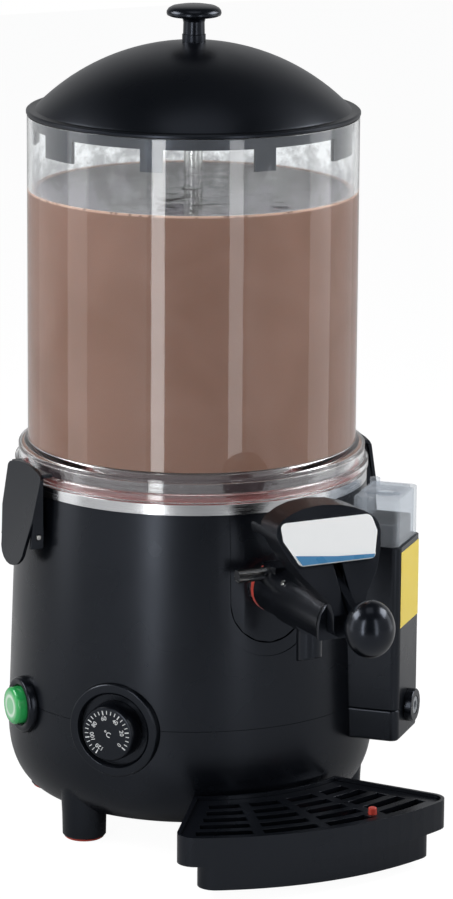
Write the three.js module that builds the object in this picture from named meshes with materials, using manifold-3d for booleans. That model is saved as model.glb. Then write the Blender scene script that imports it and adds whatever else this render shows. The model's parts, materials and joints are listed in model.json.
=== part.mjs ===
// A ten litre hot chocolate dispenser with a water jacket, a mixer, a lever tap and a drip tray.
// Millimetres. +Z is up, -Y is the front, where the tap is, and the origin is on the table under
// the middle of the round body. "Reach" is a distance forward of the axis, so it lies at -Y.
import * as THREE from "three";
import { mergeVertices } from "three/addons/utils/BufferGeometryUtils.js";
import Module from "manifold-3d";

const wasm = await Module();
wasm.setup();

// Fits and facets
const gap = 0.3;
const slack = 0.5;
const overrun = 4;
const bigSides = 40;
const midSides = 24;
const smallSides = 16;
const cornerSteps = 4;
const domeSteps = 6;
const ringSteps = 3;
const notchSteps = 2;
const latchTipSteps = 10;
const latchCrownSteps = 8;
const quarterTurn = 90;
const halfTurn = 180;
const fullTurn = 360;

// Body housing
const floorHeight = 18;
const floorRadius = 96.5;
const waistHeight = 67;
const waistRadius = 130.3;
const seamHeight = 92;
const bodyTop = 243.9;
const bodyTopRadius = 124;
const bodyWall = 3;
const topFlangeWidth = 8;
const bottomRoundnessShare = 2.27;
const bottomSteps = 5;

// Legs and feet
const footHeight = 3;
const footRadius = 13.8;
const legBottomRadius = 15.3;
const legTopRadius = 17;
const legTop = 60;
const legCircleRadius = 108;
const frontLegAngle = 69.4;
const rearLegAngle = 137.6;

// Product tank, water jacket and outlet
const tankRadius = 105;
const steelWall = 1.5;
const tankFloor = 176;
const rimSeatHeight = 247.8;
const rimRadius = 124.1;
const rimLip = 2.1;
const neckRadius = 110;
const neckHeight = 18.7;
const jacketRadius = 114.5;
const jacketBottom = 162;
const outletHeight = 193;
const outletRadius = 9.5;
const outletBore = 7;
const outletReach = 150;
const outletFlangeRadius = 16.5;
const outletFlangeReach = 122.3;
const outletFlangeWidth = 5.9;
const slotHalfWidth = 29.4;
const slotBottom = 152;
const collarSetBack = 1;
const collarWall = 3;

// Standpipe, drive shaft and mixer
const shaftRadius = 3;
const pipeBore = 3.5;
const pipeRadius = 4.75;
const pipeTop = 474;
const pipeBottom = 157;
const mixerTubeRadius = 6.6;
const mixerTubeTop = 486;
const mixerCapHeight = 4;
const hubRadius = 12;
const hubHeight = 15;
const bladeReach = 98;
const bladeThickness = 2.5;
const bladeHeight = 11;
const bladeTipWidth = 7;
const bladeTipHeight = 36;

// Heater
const heaterCircleRadius = 70;
const heaterTubeRadius = 4;
const heaterPostRadius = 3;
const heaterPostDrop = 16;
const heaterPostSpread = 24;

// Gear motor and its cradle
const motorRadius = 32.7;
const motorTop = 100;
const gearboxRadius = 38;
const gearboxTop = 122;
const gearboxBossRadius = 8;
const gearboxBossTop = 130;
const shaftBottom = 108;
const cradleWall = 3.5;
const cradleFloor = 2.7;
const cradleHeight = 48;

// Clear bowl and its seal
const sealHeight = 2.5;
const sealLipHeight = 18;
const sealRadius = 121;
const bowlRadius = 115.9;
const bowlWall = 3;
const bowlTop = 501.7;
const footRingRadius = 125;
const footRingHeight = 6.2;
const skirtRadius = 122.5;
const skirtHeight = 16.2;
const shoulderHeight = 19.5;

// Lid, its lugs and its knob
const lidRimRadius = 116.5;
const lidRimHeight = 3.2;
const lidDomeStep = 1.5;
const lidRimRound = 1.2;
const lidDomeRadius = 109;
const lidDomeRise = 45.3;
const lidWall = 2.5;
const lidSkirtDepth = 8;
const lidLugDepth = 15.5;
const lidLugCount = 9;
const wideLugEvery = 3;
const wideLugAngle = 16;
const narrowLugAngle = 8;
const firstLugAngle = -86;
const lidBossRadius = 8.2;
const lidBossHeight = 5;
const stemRadius = 7.6;
const knobRadius = 19.1;
const knobHeight = 20.5;
const knobCapHeight = 8.5;
const knobRadiusShares = [0.86, 0.97, 1, 0.97, 0.8, 0.45];
const knobHeightShares = [0, 0.08, 0.3, 0.52, 0.84, 0.97];
const screwRadius = 3;
const screwHeadRadius = 6;
const screwHeadHeight = 3.5;
const screwLength = 20;

// Latches
const latchPinReach = 130;
const latchPinHeight = 217;
const latchPinRadius = 2;
const latchPinHalfLength = 26.6;
const latchHalfWidth = 28;
const latchWaistHalfWidth = 26;
const latchTipHalfWidth = 19;
const latchTop = 264;
const latchShoulderDrop = 6;
const latchWaistHeight = 230;
const latchTipHeight = 207;
const latchBottom = 193;
const latchTopReach = 128.5;
const latchWaistReach = 135;
const latchBottomReach = 141;
const latchWall = 2.5;
const earInset = 3;
const earBottom = 209;
const earReach = 126.5;
const lugEndRadius = 3.4;
const bracketHalfWidth = 21;

// Thermostat and its dial
const dialAngle = -50;
const controlHeight = 90;
const bezelRadius = 33;
const bezelBack = 120;
const bezelFront = 131.6;
const bezelWellRadius = 25.5;
const bezelWellDepth = 5.4;
const dialRadius = 20.5;
const dialTopRadius = 19.3;
const dialFront = 141;
const dialEdge = 1.6;
const spindleRadius = 3;
const spindleFront = 137;
const spindleBack = 104;
const thermostatRadius = 17;
const thermostatBack = 98;

// Power switch
const switchAngle = -90;
const switchRingRadius = 20;
const switchRingFront = 134.8;
const switchNeckRadius = 16;
const switchNeckBack = 118;
const buttonRadius = 13.3;
const buttonFront = 141;
const buttonEdge = 137.4;
const buttonBack = 124;
const buttonRadiusShares = [0.86, 0.5];
const buttonHeightShares = [0.55, 0.9];
const switchBodyRadius = 15.5;
const switchBodyBack = 100;

// Side water box on the housing
const sideAngle = 45;
const boxHalfWidth = 26;
const boxReach = 162;
const boxBottom = 69;
const boxTop = 209;
const boxWall = 2.5;
const boxCorner = 6;
const boxRoot = 108;
const boxWellRoot = 120;
const sideTankHalfWidth = 20;
const sideTankRoot = 130.2;
const sideTankReach = 157.5;
const sideTankTop = 224;
const sideTankWall = 2;
const coverHalfWidth = 24.6;
const coverRoot = 127.6;
const coverReach = 160.3;
const coverHeight = 34.7;
const coverWall = 2;
const coverCorner = 5;
const fillerMargin = 2.5;
const fillerHalfWidth = 13;
const fillerHoleRadius = 7.5;
const fillerThickness = 2.2;
const fillerSpigotDepth = 3;
const fillerGripRadius = 3.6;
const fillerGripHeight = 6;
const pipeHeight = 172;
const linkPipeRadius = 7;
const linkPipeBore = 5.5;
const linkPipeEnd = 1.7;
const drainRingRadius = 11.7;
const drainRingDepth = 5.6;
const drainNeckRadius = 8;
const drainBore = 6.6;
const plugLength = 9;
const plugSocketRadius = 3;
const plugSocketDepth = 3;

// Tap
const sealRingWidth = 4;
const tapRootRadius = 17.5;
const tapRootFront = 161;
const barrelRadius = 19;
const barrelFront = 228.7;
const chamberRadius = 9.2;
const chamberBack = 160.5;
const barrelFlatBottom = 182.5;
const barrelFlatBack = 193;
const endCapWidth = 3.4;
const spoutReach = 183;
const spoutRadius = 8.9;
const spoutBore = 5.8;
const spoutTip = 151.5;
const spoutCutRise = 7;
const neckHalfWidth = 10;
const pinReach = 139;
const pinHeight = 205.6;
const pinRadius = 4.6;
const pinRibs = 16;
const pinLeft = -33;
const pinRight = 18;
const pinBossHeight = 212;
const pinBossFront = 151;
const pivotBack = 25.7;
const pivotHeight = 232;
const pivotRadius = 2.5;
const neckTop = 239;
const neckBack = 7.5;
const neckFront = 8.5;
const leverHalfWidth = 2.7;
const leverHubRadius = 6.3;
const leverArmWidth = 6;
const leverBendHeight = 206.5;
const leverTipRadius = 3.3;
const leverEndRadius = 2.6;
const knobAhead = 25.8;
const knobCentreHeight = 198;
const ballRadius = 16.8;
const ballHalfHeight = 19.5;
const ballSeatDepth = 11;
const plungerBack = 167;
const plungerFront = 8;
const plungerTravel = 14;
const plungerPocketDepth = 4.5;
const plungerPocketFlare = 6;

// Tap cover and its badge panel
const coverTilt = 35;
const noseDepth = 10.5;
const noseCrease = 201.7;
const hoodDepth = 23;
const hoodWall = 2.5;
const noseBottom = 186;
const noseCorner = 6;
const hoodSlotHalfWidth = 3.5;
const hoodSlotTop = 232;
const hoodSlotBottom = 201.5;
const hoodHalfWidths = [14, 24, 32, 36.8, 38.7, 38.5, 36, 33, 27.7, 22, 16.5, 13.2];
const hoodHeights = [264.9, 262.4, 259, 255.6, 251.5, 247.6, 240.2, 234.1, 225.5, 218.9, 213.2, 208.3];
const hoodCrown = 266;
const badgeUp = 53.6;
const badgeTop = 14.5;
const badgeWaist = 2;
const badgeBottom = 17;
const badgeTopHalfWidth = 34.5;
const badgeWaistHalfWidth = 35.3;
const badgeLowHalfWidth = 29.5;
const badgeCorner = 4.5;
const badgeThickness = 1.2;

// Drip tray, grille and float
const trayInnerRadius = 131.2;
const trayRadius = 222.5;
const trayAngle = 28.7;
const trayInnerAngle = 24.7;
const trayTop = 46.5;
const panBottom = 26;
const basinInnerRadius = 137;
const basinRadius = 218.5;
const basinAngle = 25;
const basinInnerAngle = 21;
const basinBottom = 8;
const trayWall = 2.5;
const trayCorner = 12;
const traySteps = 20;
const grilleTop = 44;
const grilleThickness = 3.2;
const grilleSlotCount = 5;
const grilleSlotWidth = 8.4;
const grilleRibWidth = 6;
const grilleBarWidth = 7;
const grilleBayCount = 4;
const grilleFootRadius = 2.4;
const floatAngle = 12;
const floatInset = 15.5;
const floatRadius = 3.1;
const floatTop = 48.5;
const floatDiscRadius = 8;
const floatDiscHeight = 5;
const prongRadius = 3.5;
const prongHeight = 36;
const prongSpread = 38;
const prongRoot = 117;
const prongReach = 152;

// Mains cord gland
const glandHeight = 58;
const glandRadius = 12;
const glandReach = 134;
const glandNeckRadius = 8;
const glandNeckBack = 119;
const glandBore = 3.6;

// Materials, coloured as in the photograph
const finishes = {
  housing: { color: 0x2b2d30, roughness: 0.42, metalness: 0 },
  lid: { color: 0x1e1f21, roughness: 0.6, metalness: 0 },
  glossBlack: { color: 0x17181a, roughness: 0.25, metalness: 0 },
  clear: { color: 0xe8eef0, roughness: 0.08, metalness: 0, transparent: true, opacity: 0.35 },
  steel: { color: 0xc9cbcc, roughness: 0.28, metalness: 1 },
  darkSteel: { color: 0x6f7275, roughness: 0.45, metalness: 1 },
  silicone: { color: 0xc4483a, roughness: 0.6, metalness: 0 },
  green: { color: 0x5fd893, roughness: 0.2, metalness: 0 },
  white: { color: 0xf4f5f5, roughness: 0.3, metalness: 0 },
  grey: { color: 0x8c9195, roughness: 0.4, metalness: 0 },
};

// The whole machine, moved back so that the origin is under the middle of its depth
const machine = new THREE.Group();
const capFront = barrelFront + gap + endCapWidth;
const noseReach = capFront + noseDepth;
const knobReach = noseReach + knobAhead;
machine.position.y = (knobReach + ballRadius - glandReach) / 2;

// A closed geometry as a solid that can be joined and cut.
function solid(geometry) {
  const bare = geometry.index ? geometry.toNonIndexed() : geometry.clone();
  bare.deleteAttribute("normal");
  bare.deleteAttribute("uv");
  const merged = mergeVertices(bare);
  const corners = merged.index.array;
  const kept = [];
  for (let i = 0; i < corners.length; i += 3) {
    const [a, b, c] = [corners[i], corners[i + 1], corners[i + 2]];
    if (a !== b && b !== c && c !== a) kept.push(a, b, c);
  }
  const build = (order) =>
    new wasm.Manifold(
      new wasm.Mesh({
        numProp: 3,
        vertProperties: merged.attributes.position.array,
        triVerts: new Uint32Array(order),
      }),
    );
  const made = build(kept);
  return made.volume() > 0 ? made : build(kept.reverse());
}

const join = (first, ...rest) => rest.reduce((sum, piece) => sum.add(piece), first);
const cut = (first, ...rest) => rest.reduce((left, piece) => left.subtract(piece), first);

// A solid as a named mesh in a group.
function place(name, shape, finish, parent = machine) {
  const mesh = shape.getMesh();
  const geometry = new THREE.BufferGeometry();
  geometry.setAttribute("position", new THREE.BufferAttribute(new Float32Array(mesh.vertProperties), 3));
  geometry.setIndex(new THREE.BufferAttribute(new Uint32Array(mesh.triVerts), 1));
  geometry.computeVertexNormals();
  const piece = new THREE.Mesh(geometry, new THREE.MeshStandardMaterial(finishes[finish]));
  piece.name = name;
  parent.add(piece);
  return piece;
}

// A group turned about the machine's axis, so that what is built at the front lies at an angle.
function turnedGroup(degrees) {
  const group = new THREE.Group();
  group.rotation.z = THREE.MathUtils.degToRad(degrees);
  machine.add(group);
  return group;
}

const turned = (shape, degrees) => shape.rotate([0, 0, degrees]);

// A profile of [radius, height] points turned about the axis. It starts and ends on the axis,
// or goes round and closes on itself.
function revolve(profile, sides = bigSides) {
  const points = profile.map(([radius, height]) => new THREE.Vector2(radius, height));
  const closed = profile[0][0] > 0;
  if (closed) points.push(points[0].clone());
  return solid(new THREE.LatheGeometry(points, sides).rotateX(Math.PI / 2));
}

// A tube or rod about the vertical axis, moved to a place.
function upright(radius, low, high, x = 0, y = 0, sides = smallSides, topRadius = radius) {
  const rod = new THREE.CylinderGeometry(topRadius, radius, high - low, sides);
  return solid(rod.rotateX(Math.PI / 2).translate(x, y, (low + high) / 2));
}

// A rod that runs forward, between two reaches.
function forward(radius, near, far, height, x = 0, sides = smallSides) {
  const rod = new THREE.CylinderGeometry(radius, radius, far - near, sides);
  return solid(rod.translate(x, -(near + far) / 2, height));
}

// A rod that runs across, between two sideways places.
function across(radius, left, right, reach, height, sides = smallSides) {
  const rod = new THREE.CylinderGeometry(radius, radius, right - left, sides);
  return solid(rod.rotateZ(Math.PI / 2).translate((left + right) / 2, -reach, height));
}

// A turned piece whose axis runs forward: its profile is [radius, reach].
function revolveForward(profile, height, sides = midSides) {
  const points = profile.map(([radius, reach]) => new THREE.Vector2(radius, -reach));
  const closed = profile[0][0] > 0;
  if (closed) points.push(points[0].clone());
  return solid(new THREE.LatheGeometry(points, sides).translate(0, 0, height));
}

// A box between two sideways places, two reaches and two heights.
function block(left, right, near, far, low, high) {
  const box = new THREE.BoxGeometry(right - left, far - near, high - low);
  return solid(box.translate((left + right) / 2, -(near + far) / 2, (low + high) / 2));
}

const outline = (points) => new THREE.Shape(points.map(([a, b]) => new THREE.Vector2(a, b)));

// A flat shape given flat thickness: seen from above, from the front or from the side.
function slabUp(shape, low, high, curveSegments = midSides) {
  const slab = new THREE.ExtrudeGeometry(shape, { depth: high - low, bevelEnabled: false, curveSegments });
  return solid(slab.translate(0, 0, low));
}
function slabForward(shape, near, far, curveSegments = smallSides) {
  const slab = new THREE.ExtrudeGeometry(shape, { depth: far - near, bevelEnabled: false, curveSegments });
  return solid(slab.rotateX(Math.PI / 2).translate(0, -near, 0));
}
function slabAcross(shape, left, right, curveSegments = smallSides) {
  const slab = new THREE.ExtrudeGeometry(shape, { depth: right - left, bevelEnabled: false, curveSegments });
  const turn = new THREE.Matrix4().makeBasis(
    new THREE.Vector3(0, -1, 0),
    new THREE.Vector3(0, 0, 1),
    new THREE.Vector3(-1, 0, 0),
  );
  return solid(slab.applyMatrix4(turn).translate(right, 0, 0));
}

// Points of an arc in a plane, from one angle to another in degrees.
function arc(centreA, centreB, radius, from, to, steps) {
  return Array.from({ length: steps + 1 }, (_, i) => {
    const angle = THREE.MathUtils.degToRad(from + ((to - from) * i) / steps);
    return [centreA + radius * Math.cos(angle), centreB + radius * Math.sin(angle)];
  });
}

// Housing: one outer form, split at the seam into an upper shell and a base shell

const wallRadius = (height) =>
  waistRadius + ((bodyTopRadius - waistRadius) * (height - waistHeight)) / (bodyTop - waistHeight);

function bottomCurve(inset) {
  return Array.from({ length: bottomSteps + 1 }, (_, i) => {
    const turn = (Math.PI / 2) * (1 - i / bottomSteps);
    const across = Math.cos(turn) ** (2 / bottomRoundnessShare);
    const down = Math.sin(turn) ** (2 / bottomRoundnessShare);
    const radius = floorRadius + (waistRadius - inset - floorRadius) * across;
    return [radius, waistHeight - (waistHeight - floorHeight - inset) * down];
  });
}

// The housing's outer form, or its inner one, between two heights.
function bodyForm(inset, low, high) {
  const curve = low > waistHeight ? [[wallRadius(low) - inset, low]] : bottomCurve(inset);
  const bottom = low > waistHeight ? low : floorHeight + inset;
  return revolve([[0, bottom], ...curve, [wallRadius(high) - inset, high], [0, high]]);
}

const seamBelow = seamHeight - gap / 2;
const seamAbove = seamHeight + gap / 2;
const bodyHull = bodyForm(-gap, 0, bodyTop);

// A plan of the side box with round outer corners.
function boxPlan(halfWidth, root, reach, corner) {
  const front = corner - reach;
  const left = arc(-halfWidth + corner, front, corner, -halfTurn, -quarterTurn, cornerSteps);
  const right = arc(halfWidth - corner, front, corner, -quarterTurn, 0, cornerSteps);
  return outline([[-halfWidth, -root], ...left, ...right, [halfWidth, -root]]);
}

function sideBox(low, high) {
  return turned(slabUp(boxPlan(boxHalfWidth, boxRoot, boxReach, boxCorner), low, high), sideAngle);
}
function sideWell(low, high) {
  const plan = boxPlan(boxHalfWidth - boxWall, boxWellRoot, boxReach - boxWall, boxCorner - boxWall);
  return turned(slabUp(plan, low, high), sideAngle);
}

// The U of the outlet slot, seen from the front.
function slotOutline(halfWidth) {
  const bottom = arc(0, slotBottom + slotHalfWidth, halfWidth, halfTurn, fullTurn, smallSides / 2);
  return outline([...bottom, [halfWidth, bodyTop + overrun], [-halfWidth, bodyTop + overrun]]);
}

const dialHole = turned(
  forward(bezelRadius + gap, boxRoot, boxReach, controlHeight, 0, midSides),
  dialAngle,
);
const switchHole = turned(
  forward(switchNeckRadius + gap, boxRoot, boxReach, controlHeight, 0, midSides),
  switchAngle,
);
const drainHole = turned(
  forward(drainNeckRadius + gap, sideTankReach, boxReach + overrun, controlHeight),
  sideAngle,
);
const glandHole = turned(
  forward(glandNeckRadius + gap, glandNeckBack - overrun, glandReach, glandHeight),
  halfTurn,
);

function bodyShell() {
  const inside = bodyForm(bodyWall, seamBelow - overrun, bodyTop - bodyWall);
  const mouth = upright(bodyTopRadius - topFlangeWidth, seamHeight, bodyTop + overrun, 0, 0, bigSides);
  const slot = slabForward(slotOutline(slotHalfWidth), boxRoot, boxReach);
  const outside = join(bodyForm(0, seamAbove, bodyTop), sideBox(seamAbove, boxTop));
  const well = sideWell(seamAbove - overrun, boxTop + overrun);
  const overWall = block(
    -boxHalfWidth,
    boxHalfWidth,
    0,
    wallRadius(boxTop),
    boxTop - boxWall,
    boxTop + overrun * 2,
  );
  const wellBelowMouth = cut(well, turned(overWall, sideAngle));
  return cut(outside, inside, mouth, slot, wellBelowMouth, dialHole, switchHole, drainHole);
}

const legPlaces = [frontLegAngle, rearLegAngle, -rearLegAngle, -frontLegAngle].map((degrees) => {
  const angle = THREE.MathUtils.degToRad(degrees);
  return [legCircleRadius * Math.sin(angle), -legCircleRadius * Math.cos(angle)];
});

function baseShell() {
  const legs = legPlaces.map(([x, y]) =>
    upright(legBottomRadius, footHeight + gap, legTop, x, y, smallSides, legTopRadius),
  );
  const prongs = [-prongSpread, prongSpread].map((x) =>
    forward(prongRadius, prongRoot, prongReach, prongHeight, x, smallSides / 2),
  );
  const outside = join(bodyForm(0, 0, seamBelow), sideBox(boxBottom, seamBelow), ...legs);
  const inside = bodyForm(bodyWall, 0, seamBelow + overrun);
  const well = sideWell(boxBottom + boxWall, seamBelow + overrun);
  const shell = cut(outside, inside, well, dialHole, switchHole, drainHole, glandHole);
  return join(shell, ...prongs);
}

// Product tank: pan, rim, standpipe and outlet, welded as one

const rimSeatTop = rimSeatHeight + steelWall;
const steelBottom = bodyTop + gap;

function steelTank() {
  const pan = revolve([
    [pipeBore, pipeTop],
    [pipeBore, pipeBottom],
    [pipeRadius, pipeBottom],
    [pipeRadius, tankFloor],
    [tankRadius + steelWall, tankFloor],
    [tankRadius + steelWall, rimSeatHeight],
    [rimRadius - steelWall, rimSeatHeight],
    [rimRadius - steelWall, steelBottom],
    [rimRadius, steelBottom],
    [rimRadius, rimSeatTop + rimLip],
    [rimRadius - steelWall, rimSeatTop + rimLip],
    [rimRadius - steelWall, rimSeatTop],
    [neckRadius, rimSeatTop],
    [neckRadius, rimSeatTop + neckHeight],
    [neckRadius - steelWall, rimSeatTop + neckHeight],
    [neckRadius - steelWall, rimSeatTop],
    [tankRadius, rimSeatTop],
    [tankRadius, tankFloor + steelWall],
    [pipeRadius, tankFloor + steelWall],
    [pipeRadius, pipeTop],
  ]);
  const tube = forward(outletRadius, tankRadius, outletReach, outletHeight, 0, midSides);
  const flangeFront = outletFlangeReach + outletFlangeWidth;
  const flange = forward(outletFlangeRadius, outletFlangeReach, flangeFront, outletHeight, 0, midSides);
  const bore = forward(outletBore, tankRadius - overrun, outletReach + overrun, outletHeight, 0, midSides);
  return cut(join(pan, tube, flange), bore, pinRoom());
}

// Room for the lock pin across the tap's root, which also grooves the outlet tube
function pinRoom() {
  const half = tapRootRadius + overrun;
  return across(pinRadius + gap, -half, half, pinReach, pinHeight);
}

function waterJacket() {
  const inner = jacketRadius - steelWall;
  const cup = revolve([
    [pipeRadius + gap, jacketBottom],
    [jacketRadius, jacketBottom],
    [jacketRadius, rimSeatHeight - gap],
    [inner, rimSeatHeight - gap],
    [inner, jacketBottom + steelWall],
    [pipeRadius + gap, jacketBottom + steelWall],
  ]);
  const holeFront = jacketRadius + overrun;
  const outletHole = forward(outletRadius + gap, tankRadius, holeFront, outletHeight, 0, midSides);
  const pipeHole = turned(
    forward(linkPipeRadius + gap, tankRadius, holeFront, pipeHeight),
    sideAngle,
  );
  const postHoles = heaterPosts(heaterPostRadius + gap);
  return cut(cup, outletHole, pipeHole, ...postHoles);
}

const heaterHeight = jacketBottom + steelWall + gap + heaterTubeRadius;

function heaterPosts(radius) {
  return [-heaterPostSpread / 2, heaterPostSpread / 2].map((x) => {
    const y = Math.sqrt(heaterCircleRadius ** 2 - x ** 2);
    return upright(radius, heaterHeight - heaterPostDrop, heaterHeight, x, y, smallSides / 2);
  });
}

function heater() {
  const ring = new THREE.TorusGeometry(heaterCircleRadius, heaterTubeRadius, smallSides / 2, midSides);
  return join(solid(ring.translate(0, 0, heaterHeight)), ...heaterPosts(heaterPostRadius));
}

// A curved black plate that closes the slot round the outlet
function outletCollar() {
  const ring = cut(
    bodyForm(collarSetBack, slotBottom, bodyTop),
    bodyForm(collarSetBack + collarWall, slotBottom - overrun, bodyTop + overrun),
  );
  const plate = ring.intersect(slabForward(slotOutline(slotHalfWidth - gap), tankRadius, boxReach));
  return cut(plate, forward(outletFlangeRadius + gap, tankRadius, boxReach, outletHeight, 0, midSides));
}

// Clear bowl with a hollow foot flange, and its red seal
const sealBottom = rimSeatTop + gap;
const bowlBottom = sealBottom + sealHeight + gap;

function bowl() {
  const inner = bowlRadius - bowlWall;
  const skirtInner = skirtRadius - bowlWall;
  return revolve([
    [inner, bowlBottom],
    [bowlRadius, bowlBottom],
    [bowlRadius, bowlBottom + skirtHeight - bowlWall],
    [skirtInner, bowlBottom + skirtHeight - bowlWall],
    [skirtInner, bowlBottom],
    [footRingRadius, bowlBottom],
    [footRingRadius, bowlBottom + footRingHeight],
    [skirtRadius, bowlBottom + footRingHeight],
    [skirtRadius, bowlBottom + skirtHeight],
    [bowlRadius, bowlBottom + shoulderHeight],
    [bowlRadius, bowlTop],
    [inner, bowlTop],
  ]);
}

function bowlSeal() {
  const lipRadius = bowlRadius - bowlWall - gap;
  return revolve([
    [neckRadius + gap, sealBottom],
    [sealRadius, sealBottom],
    [sealRadius, sealBottom + sealHeight],
    [lipRadius, sealBottom + sealHeight],
    [lipRadius, sealBottom + sealLipHeight],
    [neckRadius + gap, sealBottom + sealLipHeight],
  ]);
}

// Lid: a shallow spherical dome on a rim, with a skirt and lugs inside the bowl
const lidBottom = bowlTop + gap;
const domeBase = lidBottom + lidRimHeight + lidDomeStep;
const domeTop = domeBase + lidDomeRise;
const domeSphere = (lidDomeRadius ** 2 + lidDomeRise ** 2) / (2 * lidDomeRise);
const domeCentre = domeTop - domeSphere;
const lidSkirtRadius = bowlRadius - bowlWall - slack;

function domeCurve(inset, outerRadius) {
  const sphere = domeSphere - inset;
  return Array.from({ length: domeSteps + 1 }, (_, i) => {
    const radius = (outerRadius * i) / domeSteps;
    return [radius, domeCentre + Math.sqrt(sphere ** 2 - radius ** 2)];
  });
}

function ringSector(inner, outer, halfAngle, steps = ringSteps) {
  const rim = arc(0, 0, outer, -quarterTurn - halfAngle, -quarterTurn + halfAngle, steps);
  const bore = arc(0, 0, inner, -quarterTurn + halfAngle, -quarterTurn - halfAngle, steps);
  return outline([...rim, ...bore]);
}

function lid() {
  const rimTop = lidBottom + lidRimHeight;
  const underside = lidBottom + lidRimHeight / 2;
  const lugBottom = lidBottom - lidSkirtDepth - lidLugDepth;
  const shell = revolve([
    ...domeCurve(0, lidDomeRadius),
    [lidDomeRadius + lidWall / 2, rimTop],
    [lidRimRadius - lidRimRound, rimTop],
    [lidRimRadius, rimTop - lidRimRound],
    [lidRimRadius, lidBottom],
    [lidSkirtRadius, lidBottom],
    [lidSkirtRadius, lugBottom],
    [lidSkirtRadius - lidWall, lugBottom],
    [lidSkirtRadius - lidWall, underside],
    ...domeCurve(lidWall, lidDomeRadius - lidWall / 2).reverse(),
  ]);
  const lugAngle = (i) => (i % wideLugEvery === 0 ? wideLugAngle : narrowLugAngle);
  const pitch = fullTurn / lidLugCount;
  const notches = Array.from({ length: lidLugCount }, (_, i) => {
    const from = pitch * i + lugAngle(i) / 2;
    const to = pitch * (i + 1) - lugAngle(i + 1) / 2;
    const near = lidSkirtRadius - lidWall * 2;
    const plan = ringSector(near, lidSkirtRadius + lidWall, (to - from) / 2, notchSteps);
    const notch = slabUp(plan, lugBottom - overrun, lidBottom - lidSkirtDepth);
    return turned(notch, firstLugAngle + (from + to) / 2);
  });
  const boss = upright(lidBossRadius, domeTop - lidWall, domeTop + lidBossHeight, 0, 0, midSides);
  const bore = upright(screwRadius + gap, domeTop - overrun, domeTop + lidBossHeight + overrun);
  return cut(join(cut(shell, ...notches), boss), bore);
}

const knobBottom = domeTop + lidBossHeight + gap;

function lidKnob() {
  const top = knobBottom + knobHeight;
  const capBottom = top - knobCapHeight;
  return revolve([
    [0, knobBottom + screwLength - lidBossHeight],
    [screwRadius + gap, knobBottom + screwLength - lidBossHeight],
    [screwRadius + gap, knobBottom],
    [stemRadius, knobBottom],
    [stemRadius, capBottom],
    ...knobRadiusShares.map((share, i) => [
      knobRadius * share,
      capBottom + knobCapHeight * knobHeightShares[i],
    ]),
    [0, top],
  ], midSides);
}

function knobScrew() {
  const headTop = domeTop - lidWall - gap - slack / 2;
  return join(
    upright(screwHeadRadius, headTop - screwHeadHeight, headTop),
    upright(screwRadius, headTop - screwHeadHeight / 2, headTop + screwLength - gap),
  );
}

// Mixer: a tube over the standpipe, turned by the shaft inside it, on a two-bladed paddle
const paddleBottom = tankFloor + steelWall + slack;
const mixerTubeBore = pipeRadius + slack;

function mixerTube() {
  const bottom = paddleBottom + hubHeight + gap;
  return revolve([
    [0, mixerTubeTop - mixerCapHeight],
    [mixerTubeBore, mixerTubeTop - mixerCapHeight],
    [mixerTubeBore, bottom],
    [mixerTubeRadius, bottom],
    [mixerTubeRadius, mixerTubeTop],
    [0, mixerTubeTop],
  ], smallSides);
}

function mixerPaddle() {
  const half = bladeThickness / 2;
  const blades = [-1, 1].map((side) => {
    const [left, right] = side < 0 ? [-bladeReach, 0] : [0, bladeReach];
    const tipEnds = [side * bladeReach, side * (bladeReach - bladeTipWidth)];
    const tip = [Math.min(...tipEnds), Math.max(...tipEnds)];
    return join(
      block(left, right, -half, half, paddleBottom, paddleBottom + bladeHeight),
      block(...tip, -half, half, paddleBottom, paddleBottom + bladeTipHeight),
    );
  });
  const hub = upright(hubRadius, paddleBottom, paddleBottom + hubHeight);
  const bore = upright(mixerTubeBore, paddleBottom - overrun, paddleBottom + hubHeight + overrun);
  return cut(join(hub, ...blades), bore);
}

function driveShaft() {
  return upright(shaftRadius, shaftBottom, mixerTubeTop - mixerCapHeight - gap, 0, 0, smallSides / 2);
}

// Gear motor on the floor of the base
const cradleBottom = floorHeight + bodyWall + gap;
const motorBottom = cradleBottom + cradleFloor + gap;

function gearMotor() {
  return revolve([
    [0, motorBottom],
    [motorRadius, motorBottom],
    [motorRadius, motorTop],
    [gearboxRadius, motorTop],
    [gearboxRadius, gearboxTop],
    [gearboxBossRadius, gearboxTop],
    [gearboxBossRadius, gearboxBossTop],
    [shaftRadius + gap, gearboxBossTop],
    [shaftRadius + gap, shaftBottom - gap],
    [0, shaftBottom - gap],
  ], midSides);
}

function motorCradle() {
  const inner = motorRadius + gap;
  return revolve([
    [0, cradleBottom],
    [inner + cradleWall, cradleBottom],
    [inner + cradleWall, cradleBottom + cradleHeight],
    [inner, cradleBottom + cradleHeight],
    [inner, cradleBottom + cradleFloor],
    [0, cradleBottom + cradleFloor],
  ], midSides);
}

// Latch, drawn at the front and turned to the side: a tongue, two ears and a hook over the foot ring
const hookBottom = bowlBottom + footRingHeight + gap;

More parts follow.
